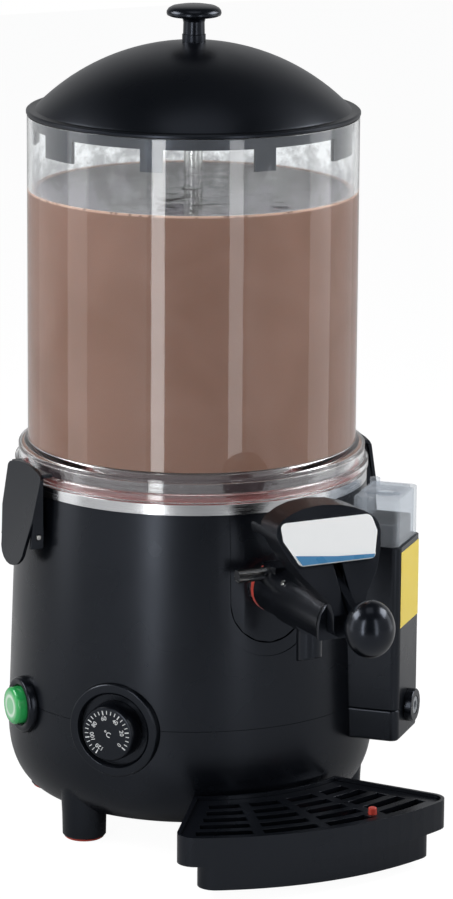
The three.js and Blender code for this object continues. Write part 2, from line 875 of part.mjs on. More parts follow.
function latch() {
  const shoulder = latchTop - latchShoulderDrop;
  const side = slabAcross(outline([
    [latchTopReach, latchTop],
    [latchWaistReach, latchWaistHeight],
    [latchBottomReach, latchBottom],
    [latchBottomReach - latchWall, latchBottom],
    [latchWaistReach - latchWall, latchWaistHeight],
    [latchTopReach - latchWall, latchTop],
  ]), -latchHalfWidth, latchHalfWidth);
  const tip = arc(0, latchTipHeight, 1, 0, halfTurn, latchTipSteps).map(([x, z]) => [
    x * latchTipHalfWidth,
    latchTipHeight - (z - latchTipHeight) * (latchTipHeight - latchBottom),
  ]);
  const crown = arc(0, shoulder, 1, 0, halfTurn, latchCrownSteps).map(([x, z]) => [
    -x * latchHalfWidth,
    shoulder + (z - shoulder) * latchShoulderDrop,
  ]);
  const tongue = slabForward(outline([
    ...crown,
    [latchWaistHalfWidth, latchWaistHeight],
    ...tip,
    [-latchWaistHalfWidth, latchWaistHeight],
  ]), boxRoot, boxReach);
  const earOutline = outline([
    [earReach, shoulder],
    [latchTopReach - latchWall / 2, shoulder],
    [latchWaistReach - latchWall / 2, latchWaistHeight],
    [latchBottomReach - latchWall * 2, earBottom],
    [earReach, earBottom],
  ]);
  const earOut = latchWaistHalfWidth - earInset + latchWall;
  const earIn = latchWaistHalfWidth - earInset;
  const hook = block(
    -latchWaistHalfWidth, latchWaistHalfWidth,
    skirtRadius - overrun * 2, latchTopReach - latchWall / 2,
    hookBottom, hookBottom + latchWall,
  );
  const body = join(
    side.intersect(tongue),
    slabAcross(earOutline, -earOut, -earIn),
    slabAcross(earOutline, earIn, earOut),
    hook,
  );
  const clearOfBowl = join(
    upright(skirtRadius + slack, hookBottom - gap / 2, latchTop + overrun, 0, 0, bigSides),
    upright(footRingRadius + slack, latchBottom, hookBottom, 0, 0, bigSides),
  );
  const pinHole = across(
    latchPinRadius + gap, -latchHalfWidth - overrun, latchHalfWidth + overrun, latchPinReach, latchPinHeight,
  );
  return cut(body, clearOfBowl, pinHole);
}

function latchBracket() {
  const lug = join(
    across(lugEndRadius, -bracketHalfWidth, bracketHalfWidth, latchPinReach, latchPinHeight),
    block(
      -bracketHalfWidth, bracketHalfWidth, boxRoot, latchPinReach,
      latchPinHeight - lugEndRadius, latchPinHeight + lugEndRadius,
    ),
  );
  const pinHole = across(
    latchPinRadius + gap, -bracketHalfWidth - overrun, bracketHalfWidth + overrun,
    latchPinReach, latchPinHeight,
  );
  return cut(lug, bodyHull, pinHole);
}

function latchPin() {
  return across(
    latchPinRadius, -latchPinHalfLength, latchPinHalfLength, latchPinReach, latchPinHeight, smallSides / 2,
  );
}

// Thermostat dial in a round bezel well, with its spindle and its body behind
const wellFloor = bezelFront - bezelWellDepth;

function dialBezel() {
  return revolveForward([
    [spindleRadius + slack, bezelBack],
    [bezelRadius, bezelBack],
    [bezelRadius, bezelFront - dialEdge / 2],
    [bezelRadius - dialEdge / 2, bezelFront],
    [bezelWellRadius + dialEdge, bezelFront],
    [bezelWellRadius, bezelFront - dialEdge],
    [bezelWellRadius, wellFloor],
    [spindleRadius + slack, wellFloor],
  ], controlHeight);
}

function thermostatDial() {
  return revolveForward([
    [0, spindleFront + gap],
    [spindleRadius + gap, spindleFront + gap],
    [spindleRadius + gap, wellFloor + slack],
    [dialRadius, wellFloor + slack],
    [dialTopRadius, dialFront - dialEdge],
    [dialTopRadius - dialEdge, dialFront],
    [0, dialFront],
  ], controlHeight);
}

function thermostatBody() {
  const front = bezelBack - gap;
  return revolveForward([
    [0, thermostatBack],
    [thermostatRadius, thermostatBack],
    [thermostatRadius, front],
    [spindleRadius + gap, front],
    [spindleRadius + gap, spindleBack - gap],
    [0, spindleBack - gap],
  ], controlHeight, smallSides);
}

// Power switch: ring, lit button and switch body
function switchRing() {
  const ring = forward(switchRingRadius, boxRoot, switchRingFront, controlHeight, 0, midSides);
  const seated = cut(ring, bodyHull);
  const neckFront = switchRingFront - slack;
  const neck = forward(switchNeckRadius, switchNeckBack, neckFront, controlHeight, 0, midSides);
  const bore = forward(buttonRadius + gap, boxRoot, boxReach, controlHeight, 0, midSides);
  return cut(join(seated, neck), bore);
}

function switchButton() {
  return revolveForward([
    [0, buttonBack],
    [buttonRadius, buttonBack],
    [buttonRadius, buttonEdge],
    ...buttonRadiusShares.map((share, i) => [
      buttonRadius * share,
      buttonEdge + (buttonFront - buttonEdge) * buttonHeightShares[i],
    ]),
    [0, buttonFront],
  ], controlHeight, smallSides);
}

// Side water box: black inner tank, clear cover with a filler cap, drain and link pipe
function sideTank() {
  const wall = sideTankWall;
  const bottom = boxBottom + boxWall + gap;
  const outer = slabUp(
    boxPlan(sideTankHalfWidth, sideTankRoot, sideTankReach, coverCorner), bottom, sideTankTop);
  const inner = slabUp(
    boxPlan(sideTankHalfWidth - wall, sideTankRoot + wall, sideTankReach - wall, coverCorner - wall),
    bottom + wall,
    sideTankTop + overrun,
  );
  const drain = forward(drainBore, sideTankReach - overrun, sideTankReach + overrun, controlHeight);
  const link = forward(linkPipeRadius + gap, sideTankRoot - overrun, sideTankRoot + overrun, pipeHeight);
  return cut(outer, inner, drain, link);
}

const coverBottom = boxTop + gap;
const coverTop = coverBottom + coverHeight;
const fillerReach = (coverRoot + coverReach) / 2;

function sideCover() {
  const outer = slabUp(boxPlan(coverHalfWidth, coverRoot, coverReach, coverCorner), coverBottom, coverTop);
  const inner = slabUp(
    boxPlan(
      coverHalfWidth - coverWall,
      coverRoot + coverWall,
      coverReach - coverWall,
      coverCorner - coverWall,
    ),
    coverBottom - overrun,
    coverTop - coverWall,
  );
  return cut(outer, inner, upright(fillerHoleRadius, boxTop, coverTop + overrun, 0, -fillerReach));
}

function fillerCap() {
  const bottom = coverTop + gap;
  const top = bottom + fillerThickness;
  const back = coverRoot + fillerMargin;
  const plan = boxPlan(fillerHalfWidth, back, coverReach - fillerMargin, coverWall);
  const spigotRadius = fillerHoleRadius - gap;
  const spigot = upright(spigotRadius, coverTop + gap - fillerSpigotDepth, top - gap, 0, -fillerReach);
  const gripReach = back + fillerGripRadius + coverWall;
  const grip = upright(fillerGripRadius, top - gap, top + fillerGripHeight, 0, -gripReach);
  return join(slabUp(plan, bottom, top), spigot, grip);
}

function linkPipe() {
  const near = jacketRadius - linkPipeEnd;
  const far = sideTankRoot + sideTankWall - slack / 2;
  return revolveForward([
    [linkPipeBore, near],
    [linkPipeRadius, near],
    [linkPipeRadius, far],
    [linkPipeBore, far],
  ], pipeHeight, smallSides);
}

function drainFitting() {
  const front = boxReach + gap + drainRingDepth;
  return revolveForward([
    [drainBore, sideTankReach + gap],
    [drainNeckRadius, sideTankReach + gap],
    [drainNeckRadius, boxReach + gap],
    [drainRingRadius, boxReach + gap],
    [drainRingRadius, front - slack],
    [drainRingRadius - slack, front],
    [drainBore, front],
  ], controlHeight, smallSides);
}

function drainPlug() {
  const front = boxReach + drainRingDepth;
  return revolveForward([
    [0, front - plugLength],
    [drainBore - gap, front - plugLength],
    [drainBore - gap, front],
    [plugSocketRadius, front],
    [plugSocketRadius, front - plugSocketDepth],
    [0, front - plugSocketDepth],
  ], controlHeight, smallSides);
}

// Tap: red seal, body with barrel, neck and spout, end cap, plunger, lever and knob
const flangeFront = outletFlangeReach + outletFlangeWidth;
const tapBack = flangeFront + gap + sealRingWidth + gap;

function tapSeal() {
  return revolveForward([
    [outletRadius + gap, flangeFront + gap],
    [tapRootRadius, flangeFront + gap],
    [tapRootRadius, flangeFront + gap + sealRingWidth],
    [outletRadius + gap, flangeFront + gap + sealRingWidth],
  ], outletHeight);
}

const pivotReach = barrelFront - pivotBack;
const armSlotHalf = leverHalfWidth + slack;

// The tap's round barrel with a flat under its front half
function barrelForm(near, far, grow) {
  const radius = barrelRadius + grow;
  const round = forward(radius, near, far, outletHeight, 0, midSides);
  const low = outletHeight - radius;
  const flat = block(-radius, radius, barrelFlatBack, far + overrun, low, barrelFlatBottom);
  return cut(round, flat);
}

// A notch for the lever, from the pivot forward, over the barrel
function leverNotch(far) {
  return block(
    -armSlotHalf,
    armSlotHalf,
    pivotReach,
    far,
    outletHeight + chamberRadius + leverArmWidth,
    neckTop + overrun,
  );
}

function tapBody() {
  const boss = block(-neckHalfWidth, neckHalfWidth, tapBack, pinBossFront, outletHeight, pinBossHeight);
  const neck = block(
    -neckHalfWidth,
    neckHalfWidth,
    pivotReach - neckBack,
    pivotReach + neckFront,
    outletHeight,
    neckTop,
  );
  const root = forward(tapRootRadius, tapBack, tapRootFront + overrun, outletHeight, 0, midSides);
  const barrel = barrelForm(tapRootFront, barrelFront, 0);
  const spout = upright(spoutRadius, spoutTip, outletHeight, 0, -spoutReach);
  const slope = slabAcross(outline([
    [spoutReach - spoutRadius, spoutTip - overrun],
    [spoutReach - spoutRadius, spoutTip],
    [spoutReach + spoutRadius, spoutTip + spoutCutRise],
    [spoutReach + spoutRadius + overrun, spoutTip - overrun],
  ]), -spoutRadius - overrun, spoutRadius + overrun);
  const inletFront = chamberBack + overrun;
  const inlet = forward(outletRadius + gap, tapBack - overrun, inletFront, outletHeight, 0, midSides);
  const chamber = forward(chamberRadius, chamberBack, barrelFront + overrun, outletHeight, 0, midSides);
  const spoutHole = upright(spoutBore, spoutTip - overrun, outletHeight, 0, -spoutReach);
  const armRoom = block(
    -armSlotHalf,
    armSlotHalf,
    pivotReach - leverHubRadius - slack,
    pivotReach + leverTipRadius + plungerTravel + slack * 2,
    outletHeight,
    neckTop + overrun,
  );
  const pivot = across(
    pivotRadius + gap,
    -neckHalfWidth - overrun,
    neckHalfWidth + overrun,
    pivotReach,
    pivotHeight,
  );
  const form = cut(join(root, barrel, boss, neck, spout), slope, inlet, chamber, spoutHole);
  return cut(form, armRoom, leverNotch(barrelFront + overrun), pivot, pinRoom());
}

// A plate over the barrel's front, round above and straight-sided below
function tapEndCap() {
  const back = barrelFront + gap;
  const arch = arc(0, outletHeight, barrelRadius, 0, halfTurn, smallSides / 2);
  const plate = outline([[barrelRadius, barrelFlatBottom], ...arch, [-barrelRadius, barrelFlatBottom]]);
  return cut(slabForward(plate, back, back + endCapWidth), leverNotch(back + endCapWidth + overrun));
}

// A knurled steel pin: a rod whose left end is ribbed
function lockPin() {
  const grip = new THREE.Shape();
  Array.from({ length: pinRibs * 2 }, (_, i) => {
    const angle = (Math.PI * i) / pinRibs;
    const radius = i % 2 ? pinRadius : pinRadius - slack;
    const [a, b] = [radius * Math.cos(angle), radius * Math.sin(angle)];
    return i ? grip.lineTo(pinReach + a, pinHeight + b) : grip.moveTo(pinReach + a, pinHeight + b);
  });
  const gripRight = -neckHalfWidth - gap;
  return join(
    slabAcross(grip, pinLeft, gripRight),
    across(pinRadius, gripRight - overrun, pinRight, pinReach, pinHeight),
  );
}

function tapPlunger() {
  const front = pivotReach + plungerFront;
  const rod = forward(chamberRadius - gap, plungerBack, front, outletHeight, 0, midSides);
  const half = leverTipRadius + slack;
  const low = outletHeight - plungerPocketDepth;
  const high = outletHeight + chamberRadius + overrun;
  const pocket = slabAcross(outline([
    [pivotReach - half, low],
    [pivotReach + half, low],
    [pivotReach + half, high],
    [pivotReach - half - plungerPocketFlare, high],
    [pivotReach - half, outletHeight],
  ]), -armSlotHalf, armSlotHalf);
  return cut(rod, pocket);
}

// Lever: an arm down to the plunger, an arm forward inside the cover, and a bend out to the knob
const bendReach = noseReach - slack;
const innerSlope = Math.atan2(leverBendHeight - pivotHeight, bendReach - pivotReach);
const outerSlope = Math.atan2(knobCentreHeight - leverBendHeight, knobReach - bendReach);
const outerLength = Math.hypot(knobReach - bendReach, knobCentreHeight - leverBendHeight);

// A point so far along a slope from a start, and so far above it.
const beside = (reach, height, slope, along, above) => [
  reach + along * Math.cos(slope) - above * Math.sin(slope),
  height + along * Math.sin(slope) + above * Math.cos(slope),
];
const onHandle = (along, above) => beside(bendReach, leverBendHeight, outerSlope, along, above);

function tapLever() {
  const half = leverArmWidth / 2;
  const armEnd = outerLength - ballRadius - gap;
  const innerLength = Math.hypot(bendReach - pivotReach, leverBendHeight - pivotHeight);
  const onInner = (along, above) => beside(pivotReach, pivotHeight, innerSlope, along, above);
  const inner = slabAcross(outline([
    onInner(0, -half),
    onInner(innerLength, -half),
    onInner(innerLength, half),
    onInner(0, half),
  ]), -leverHalfWidth, leverHalfWidth);
  const outer = slabAcross(outline([
    onHandle(0, -half),
    onHandle(armEnd, -half),
    onHandle(armEnd, half),
    onHandle(0, half),
  ]), -leverHalfWidth, leverHalfWidth);
  const bend = across(half, -leverHalfWidth, leverHalfWidth, bendReach, leverBendHeight);
  const arm = block(
    -leverHalfWidth,
    leverHalfWidth,
    pivotReach - leverTipRadius,
    pivotReach + leverTipRadius,
    outletHeight,
    pivotHeight,
  );
  const hub = across(leverHubRadius, -leverHalfWidth, leverHalfWidth, pivotReach, pivotHeight);
  const tip = across(leverTipRadius, -leverHalfWidth, leverHalfWidth, pivotReach, outletHeight);
  const rodLength = ballSeatDepth + overrun;
  const rod = new THREE.CylinderGeometry(leverEndRadius, leverEndRadius, rodLength, smallSides / 2);
  const [rodReach, rodHeight] = onHandle(armEnd - overrun + rodLength / 2, 0);
  rod.rotateX(-outerSlope).translate(0, -rodReach, rodHeight);
  const bore = across(pivotRadius + gap, -neckHalfWidth, neckHalfWidth, pivotReach, pivotHeight);
  return cut(join(inner, outer, bend, arm, hub, tip, solid(rod)), bore);
}

function leverKnob() {
  const ball = new THREE.SphereGeometry(1, smallSides, smallSides / 2).rotateX(Math.PI / 2);
  ball.scale(ballRadius, ballRadius, ballHalfHeight).translate(0, -knobReach, knobCentreHeight);
  const length = ballSeatDepth + overrun + gap;
  const radius = leverEndRadius + gap;
  const seat = new THREE.CylinderGeometry(radius, radius, length, smallSides / 2);
  const [reach, height] = onHandle(outerLength - ballRadius - gap - overrun + length / 2, 0);
  seat.rotateX(-outerSlope).translate(0, -reach, height);
  const armHalf = leverArmWidth / 2 + gap;
  const armClear = slabAcross(outline([
    onHandle(0, -armHalf),
    onHandle(outerLength - ballRadius, -armHalf),
    onHandle(outerLength - ballRadius, armHalf),
    onHandle(0, armHalf),
  ]), -leverHalfWidth - gap, leverHalfWidth + gap);
  return cut(solid(ball), solid(seat), armClear);
}

// Tap cover: a thin shield with a sloping face, an arched top and an upright nose before the end cap
const tilt = THREE.MathUtils.degToRad(coverTilt);
const facePoint = (up, out = 0) => [
  noseReach - up * Math.sin(tilt) + out * Math.cos(tilt),
  noseCrease + up * Math.cos(tilt) + out * Math.sin(tilt),
];

function shieldOutline(inset) {
  const flank = hoodHalfWidths.map((width, i) => [width - inset, hoodHeights[i] - inset / 2]);
  const left = flank.map(([x, z]) => [-x, z]).reverse();
  const nose = hoodHalfWidths.at(-1) - inset;
  const corner = noseCorner - inset / 2;
  const low = noseBottom + inset;
  const noseRight = arc(nose - corner, low + corner, corner, 0, -quarterTurn, cornerSteps);
  const noseLeft = arc(-nose + corner, low + corner, corner, -quarterTurn, -halfTurn, cornerSteps);
  return outline([[0, hoodCrown - inset], ...flank, ...noseRight, ...noseLeft, ...left]);
}

// All that lies before the sloping face and the nose, both pushed back by an inset.
function beyondFace(inset) {
  const rise = (hoodCrown + overrun - noseCrease) / Math.cos(tilt);
  const [topReach, topHeight] = facePoint(rise, -inset);
  const creaseDrop = inset * (1 / Math.cos(tilt) - Math.tan(tilt));
  const nose = noseReach - inset;
  return slabAcross(outline([
    [topReach, topHeight],
    [nose, noseCrease - creaseDrop],
    [nose, noseBottom - overrun],
    [nose + boxReach, noseBottom - overrun],
    [nose + boxReach, topHeight],
  ]), -boxHalfWidth * 2, boxHalfWidth * 2);
}

function tapHood() {
  const far = noseReach + overrun;
  const near = facePoint((hoodCrown - noseCrease) / Math.cos(tilt))[0] - hoodDepth - overrun;
  const outer = cut(slabForward(shieldOutline(0), near, far), beyondFace(0));
  const inner = cut(slabForward(shieldOutline(hoodWall), near - overrun, far), beyondFace(hoodWall));
  const noseFill = block(
    -barrelRadius,
    barrelRadius,
    capFront + slack,
    far,
    noseBottom - overrun,
    noseCrease - leverArmWidth,
  );
  const [creaseReach, creaseHeight] = facePoint(0);
  const [crownReach, crownHeight] = facePoint((hoodCrown + overrun - noseCrease) / Math.cos(tilt));
  const behind = slabAcross(outline([
    [near - overrun, creaseHeight],
    [creaseReach - hoodDepth, creaseHeight],
    [crownReach - hoodDepth, crownHeight],
    [near - overrun, crownHeight],
  ]), -barrelRadius * 2, barrelRadius * 2);
  const belowCrease = block(
    -barrelRadius * 2,
    barrelRadius * 2,
    near - overrun,
    capFront + slack,
    noseBottom - overrun,
    noseCrease,
  );
  const roomFront = capFront + slack;
  const tapRoom = forward(barrelRadius + slack * 2, near - overrun, roomFront, outletHeight, 0, midSides);
  const slot = block(
    -hoodSlotHalfWidth,
    hoodSlotHalfWidth,
    pivotReach,
    far,
    hoodSlotBottom,
    hoodSlotTop,
  );
  return cut(outer, cut(inner, noseFill), behind, belowCrease, tapRoom, slot);
}

// A plate with rounded corners on the sloping face, wider at its waist than at its ends
function badgePanel() {
  const low = badgeLowHalfWidth - badgeCorner;
  const high = badgeTopHalfWidth - badgeCorner;
  const right = [
    ...arc(high, badgeTop - badgeCorner, badgeCorner, quarterTurn, 0, cornerSteps),
    [badgeWaistHalfWidth, badgeWaist],
    ...arc(low, badgeCorner - badgeBottom, badgeCorner, 0, -quarterTurn, cornerSteps),
  ];
  const left = right.map(([x, z]) => [-x, z]).reverse();
  const plate = new THREE.ExtrudeGeometry(outline([...right, ...left]), {
    depth: badgeThickness,
    bevelEnabled: false,
  });
  const [reach, height] = facePoint(badgeUp, gap);
  return solid(plate.rotateX(Math.PI / 2 - tilt).translate(0, -reach, height));
}

// Drip tray: a shallow pan with a smaller basin under it, both sectors of a ring round the body.
// A plan's straight sides run from its inner half angle to its outer one, and all is inset evenly.
function traySector(inner, outer, innerAngle, outerAngle, inset, low, high) {
  const rim = arc(0, 0, outer, -quarterTurn - outerAngle, -quarterTurn + outerAngle, traySteps);
  const bore = arc(0, 0, inner, innerAngle - quarterTurn, -quarterTurn - innerAngle, traySteps / 2);
  const plan = new wasm.CrossSection([[...rim, ...bore]]).offset(-inset, "Miter");
  const corner = trayCorner - inset;
  const rounded = plan.offset(-corner, "Miter").offset(corner, "Round", 2, midSides);
  const root = wasm.CrossSection.circle(inner + trayCorner * 2, bigSides);
  const whole = rounded.add(plan.intersect(root));
  return whole.extrude(high - low).translate([0, 0, low]);
}
const panPlan = (inset, low, high) =>
  traySector(trayInnerRadius, trayRadius, trayInnerAngle, trayAngle, inset, low, high);
const basinPlan = (inset, low, high) =>
  traySector(basinInnerRadius, basinRadius, basinInnerAngle, basinAngle, inset, low, high);

function dripTray() {
  const outer = join(panPlan(0, panBottom, trayTop), basinPlan(0, basinBottom, panBottom + slack));
  const pan = panPlan(trayWall, panBottom + trayWall, trayTop + overrun);
  const basin = basinPlan(trayWall, basinBottom + trayWall, trayTop);
  const prongHoles = [-prongSpread, prongSpread].map((x) =>
    forward(prongRadius + gap, prongRoot, prongReach + gap, prongHeight, x),
  );
  return cut(outer, pan, basin, ...prongHoles);
}

function polar(reach, degrees) {
  const angle = THREE.MathUtils.degToRad(degrees);
  return [reach * Math.sin(angle), -reach * Math.cos(angle)];
}

const floatReach = basinRadius - floatInset;

function dripGrille() {
  const inset = trayWall + slack;
  const inner = trayInnerRadius + inset;
  const outer = trayRadius - inset;
  const bottom = grilleTop - grilleThickness;
  const plate = panPlan(inset, bottom, grilleTop);
  const footInset = inset + grilleFootRadius * 2;
  const feet = [
    [inner + footInset, trayInnerAngle],
    [outer - trayCorner, trayAngle],
  ].flatMap(([reach, angle]) =>
    [-1, 1].map((side) => {
      const [x, y] = polar(reach, side * (angle - THREE.MathUtils.radToDeg(footInset / reach)));
      return upright(grilleFootRadius, panBottom + trayWall + gap, grilleTop - slack, x, y, smallSides / 2);
    }),
  );
  const [floatX, floatY] = polar(floatReach, floatAngle);
  const floatHole = upright(floatRadius + slack, bottom - overrun, grilleTop + overrun, floatX, floatY);
  const collar = upright(floatRadius + slack + grilleRibWidth / 2, bottom, grilleTop, floatX, floatY);
  const slotted = cut(plate, ...grilleSlots(inner, outer, bottom));
  return cut(join(slotted, ...feet, collar), floatHole);
}

// Curved slots in rows that follow the tray's front edge, parted by bars
function grilleSlots(inner, outer, bottom) {
  const pitch = grilleSlotWidth + grilleRibWidth;
  const margin = (outer - inner - grilleSlotCount * pitch + grilleRibWidth) / 2;
  return Array.from({ length: grilleSlotCount }, (_, row) => {
    const near = inner + margin + row * pitch;
    const edge = THREE.MathUtils.radToDeg(grilleBarWidth / near);
    const along = (near - inner) / (outer - inner);
    const angle = trayInnerAngle + (trayAngle - trayInnerAngle) * along - edge;
    const bay = (angle * 2) / grilleBayCount;
    const half = bay / 2 - edge / 2;
    return Array.from({ length: grilleBayCount }, (_, i) => {
      const middle = -angle + bay * (i + 1 / 2);
      const plan = ringSector(near, near + grilleSlotWidth, half);
      return turned(slabUp(plan, bottom - overrun, grilleTop + overrun), middle);
    });
  }).flat();
}

function floatButton() {
  const bottom = basinBottom + trayWall + gap;
  const [x, y] = polar(floatReach, floatAngle);
  return join(
    upright(floatDiscRadius, bottom, bottom + floatDiscHeight, x, y),
    upright(floatRadius, bottom, floatTop - slack, x, y, smallSides / 2),
    upright(floatRadius, floatTop - slack * 2, floatTop, x, y, smallSides / 2, floatRadius - slack),
  );
}

// Gland that the mains cord goes through, at the back of the base
function cordGland() {
  const head = cut(
    forward(glandRadius, glandNeckBack, glandReach, glandHeight),
    bodyHull,
  );
  const neck = forward(glandNeckRadius, glandNeckBack, glandReach - slack, glandHeight);
  const bore = forward(glandBore, glandNeckBack - overrun, glandReach + overrun, glandHeight);
  return cut(join(head, neck), bore);
}

place("body_shell", bodyShell(), "housing");
place("base_shell", baseShell(), "housing");
legPlaces.forEach(([x, y], i) => {
  place("foot_pad_" + (i + 1), upright(footRadius, 0, footHeight, x, y), "silicone");
});
place("steel_tank", steelTank(), "steel");
place("water_jacket", waterJacket(), "darkSteel");
place("heater", heater(), "darkSteel");
place("outlet_collar", outletCollar(), "housing");
place("bowl", bowl(), "clear");
place("bowl_seal", bowlSeal(), "silicone");
place("lid", lid(), "lid");
place("lid_knob", lidKnob(), "glossBlack");
place("knob_screw", knobScrew(), "steel");
place("mixer_tube", mixerTube(), "steel");
place("mixer_paddle", mixerPaddle(), "white");
place("drive_shaft", driveShaft(), "steel");
place("gear_motor", gearMotor(), "darkSteel");
place("motor_cradle", motorCradle(), "darkSteel");

[["right", quarterTurn], ["left", -quarterTurn]].forEach(([name, degrees]) => {
  const side = turnedGroup(degrees);
  place("latch_" + name, latch(), "housing", side);
  place("latch_bracket_" + name, latchBracket(), "housing", side);
  place("latch_pin_" + name, latchPin(), "steel", side);
});

const dialSide = turnedGroup(dialAngle);
place("dial_bezel", dialBezel(), "housing", dialSide);
place("thermostat_dial", thermostatDial(), "housing", dialSide);
place("dial_spindle", forward(spindleRadius, spindleBack, spindleFront, controlHeight), "steel", dialSide);
place("thermostat_body", thermostatBody(), "darkSteel", dialSide);

const switchSide = turnedGroup(switchAngle);
place("switch_ring", switchRing(), "glossBlack", switchSide);
place("switch_button", switchButton(), "green", switchSide);
place("switch_body", forward(
  switchBodyRadius, switchBodyBack, switchNeckBack - gap, controlHeight), "grey", switchSide);

const boxSide = turnedGroup(sideAngle);
place("side_tank", sideTank(), "glossBlack", boxSide);
place("side_cover", sideCover(), "clear", boxSide);
place("filler_cap", fillerCap(), "clear", boxSide);
place("link_pipe", linkPipe(), "darkSteel", boxSide);
place("drain_fitting", drainFitting(), "glossBlack", boxSide);
place("drain_plug", drainPlug(), "grey", boxSide);

place("tap_seal", tapSeal(), "silicone");
place("tap_body", tapBody(), "glossBlack");
place("tap_end_cap", tapEndCap(), "glossBlack");
place("lock_pin", lockPin(), "steel");
place("tap_plunger", tapPlunger(), "white");
place("lever_pin", across(
  pivotRadius, -neckHalfWidth - slack, neckHalfWidth + slack, pivotReach, pivotHeight), "steel");
place("tap_lever", tapLever(), "glossBlack");
place("lever_knob", leverKnob(), "glossBlack");
place("tap_hood", tapHood(), "glossBlack");
place("badge_panel", badgePanel(), "white");

place("drip_tray", dripTray(), "housing");
place("drip_grille", dripGrille(), "housing");
place("float_button", floatButton(), "silicone");

const backSide = turnedGroup(halfTurn);
place("cord_gland", cordGland(), "housing", backSide);

export default machine;
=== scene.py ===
# Looks of the hot chocolate dispenser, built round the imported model.
# Metres. Pieces are built about the round body's axis with the front at -Y, then moved to their
# place.
import json
import math

import bpy
from mathutils import Matrix, Vector

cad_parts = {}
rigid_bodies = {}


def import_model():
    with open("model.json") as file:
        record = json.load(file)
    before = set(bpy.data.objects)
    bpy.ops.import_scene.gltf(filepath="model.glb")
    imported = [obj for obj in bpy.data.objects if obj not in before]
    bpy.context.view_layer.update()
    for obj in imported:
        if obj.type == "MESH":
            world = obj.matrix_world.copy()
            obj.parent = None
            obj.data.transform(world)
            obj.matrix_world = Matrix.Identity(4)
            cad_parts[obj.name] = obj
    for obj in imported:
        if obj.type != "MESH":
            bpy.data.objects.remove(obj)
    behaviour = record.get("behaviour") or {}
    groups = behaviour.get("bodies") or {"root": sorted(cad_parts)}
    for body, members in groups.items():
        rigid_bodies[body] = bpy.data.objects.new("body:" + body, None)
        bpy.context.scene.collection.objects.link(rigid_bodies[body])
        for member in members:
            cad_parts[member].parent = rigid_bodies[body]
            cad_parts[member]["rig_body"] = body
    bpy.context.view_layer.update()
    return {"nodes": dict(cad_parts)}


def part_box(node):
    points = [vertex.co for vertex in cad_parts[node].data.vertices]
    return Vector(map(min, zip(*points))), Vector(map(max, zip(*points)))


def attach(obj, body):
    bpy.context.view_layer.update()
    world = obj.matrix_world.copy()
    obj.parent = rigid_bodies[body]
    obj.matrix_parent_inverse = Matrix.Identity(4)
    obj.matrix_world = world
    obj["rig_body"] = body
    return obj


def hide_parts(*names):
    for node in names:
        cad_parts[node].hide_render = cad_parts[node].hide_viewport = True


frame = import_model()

bowl_low, bowl_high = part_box("bowl")
AXIS_Y = (bowl_low.y + bowl_high.y) / 2

# Sides of a turned piece, by its size
ROUND = 128
TRIM_ROUND = 96
SMALL_ROUND = 64
TINY_ROUND = 32

EASED = 0.0005
FIRM_CREASE = 40
MERGED = 1e-6
FLAT_ANGLE = 0.5
SEAM_GAP = 0.0003
PRINT_THICKNESS = 0.0001

# The angles of the side pieces about the axis, from the front, to the right of the machine
DIAL_ANGLE = -50
SWITCH_ANGLE = -90
BOX_ANGLE = 45
BACK_ANGLE = 180

# Housing sizes
FLOOR_HEIGHT = 0.018
FLOOR_RADIUS = 0.0965
WAIST_HEIGHT = 0.067
WAIST_RADIUS = 0.1303
SEAM_HEIGHT = 0.092
HOUSING_TOP = 0.2439
HOUSING_TOP_RADIUS = 0.124
HOUSING_WALL = 0.003
HOUSING_EASED = 0.0006
CONTROL_HEIGHT = 0.090
OUTLET_HEIGHT = 0.193
LENS_RADIUS = 0.0133

# Drink
DRINK_TOP = 0.449
DRINK_BOTTOM = 0.2712
SPLASH_TOP = 0.497
FROTH_INNER = 0.1075
FROTH_OUTER = 0.1115


# Small makers

def fresh(add, name, **settings):
    """A new primitive, which alone is selected and active."""
    bpy.ops.object.select_all(action="DESELECT")
    add(**settings)
    piece = bpy.context.object
    piece.name = piece.data.name = name
    return piece


def only(piece):
    bpy.ops.object.select_all(action="DESELECT")
    piece.select_set(True)
    bpy.context.view_layer.objects.active = piece


def apply_last(piece, modifier):
    only(piece)
    bpy.ops.object.modifier_apply(modifier=modifier.name)


def tidy_mesh(piece, dissolve=False):
    """Merges doubled points, drops loose edges and turns all faces outwards."""
    only(piece)
    bpy.ops.object.mode_set(mode="EDIT")
    bpy.ops.mesh.select_all(action="SELECT")
    bpy.ops.mesh.remove_doubles(threshold=MERGED)
    bpy.ops.mesh.delete_loose(use_verts=True, use_edges=True, use_faces=False)
    bpy.ops.mesh.select_all(action="SELECT")
    if dissolve:
        bpy.ops.mesh.dissolve_limited(angle_limit=math.radians(FLAT_ANGLE))
        bpy.ops.mesh.select_all(action="SELECT")
    bpy.ops.mesh.normals_make_consistent(inside=False)
    bpy.ops.object.mode_set(mode="OBJECT")
    return piece


def turned(name, profile, sides=ROUND):
    """A profile of (radius, height) points spun about the vertical axis."""
    piece = fresh(bpy.ops.mesh.primitive_circle_add, name, vertices=len(profile))
    for vertex, (radius, height) in zip(piece.data.vertices, profile):
        vertex.co = (0, -radius, height)
    bpy.ops.object.mode_set(mode="EDIT")
    bpy.ops.mesh.select_all(action="SELECT")
    bpy.ops.mesh.spin(steps=sides, angle=math.tau, center=(0, 0, 0), axis=(0, 0, 1))
    bpy.ops.object.mode_set(mode="OBJECT")
    return tidy_mesh(piece)


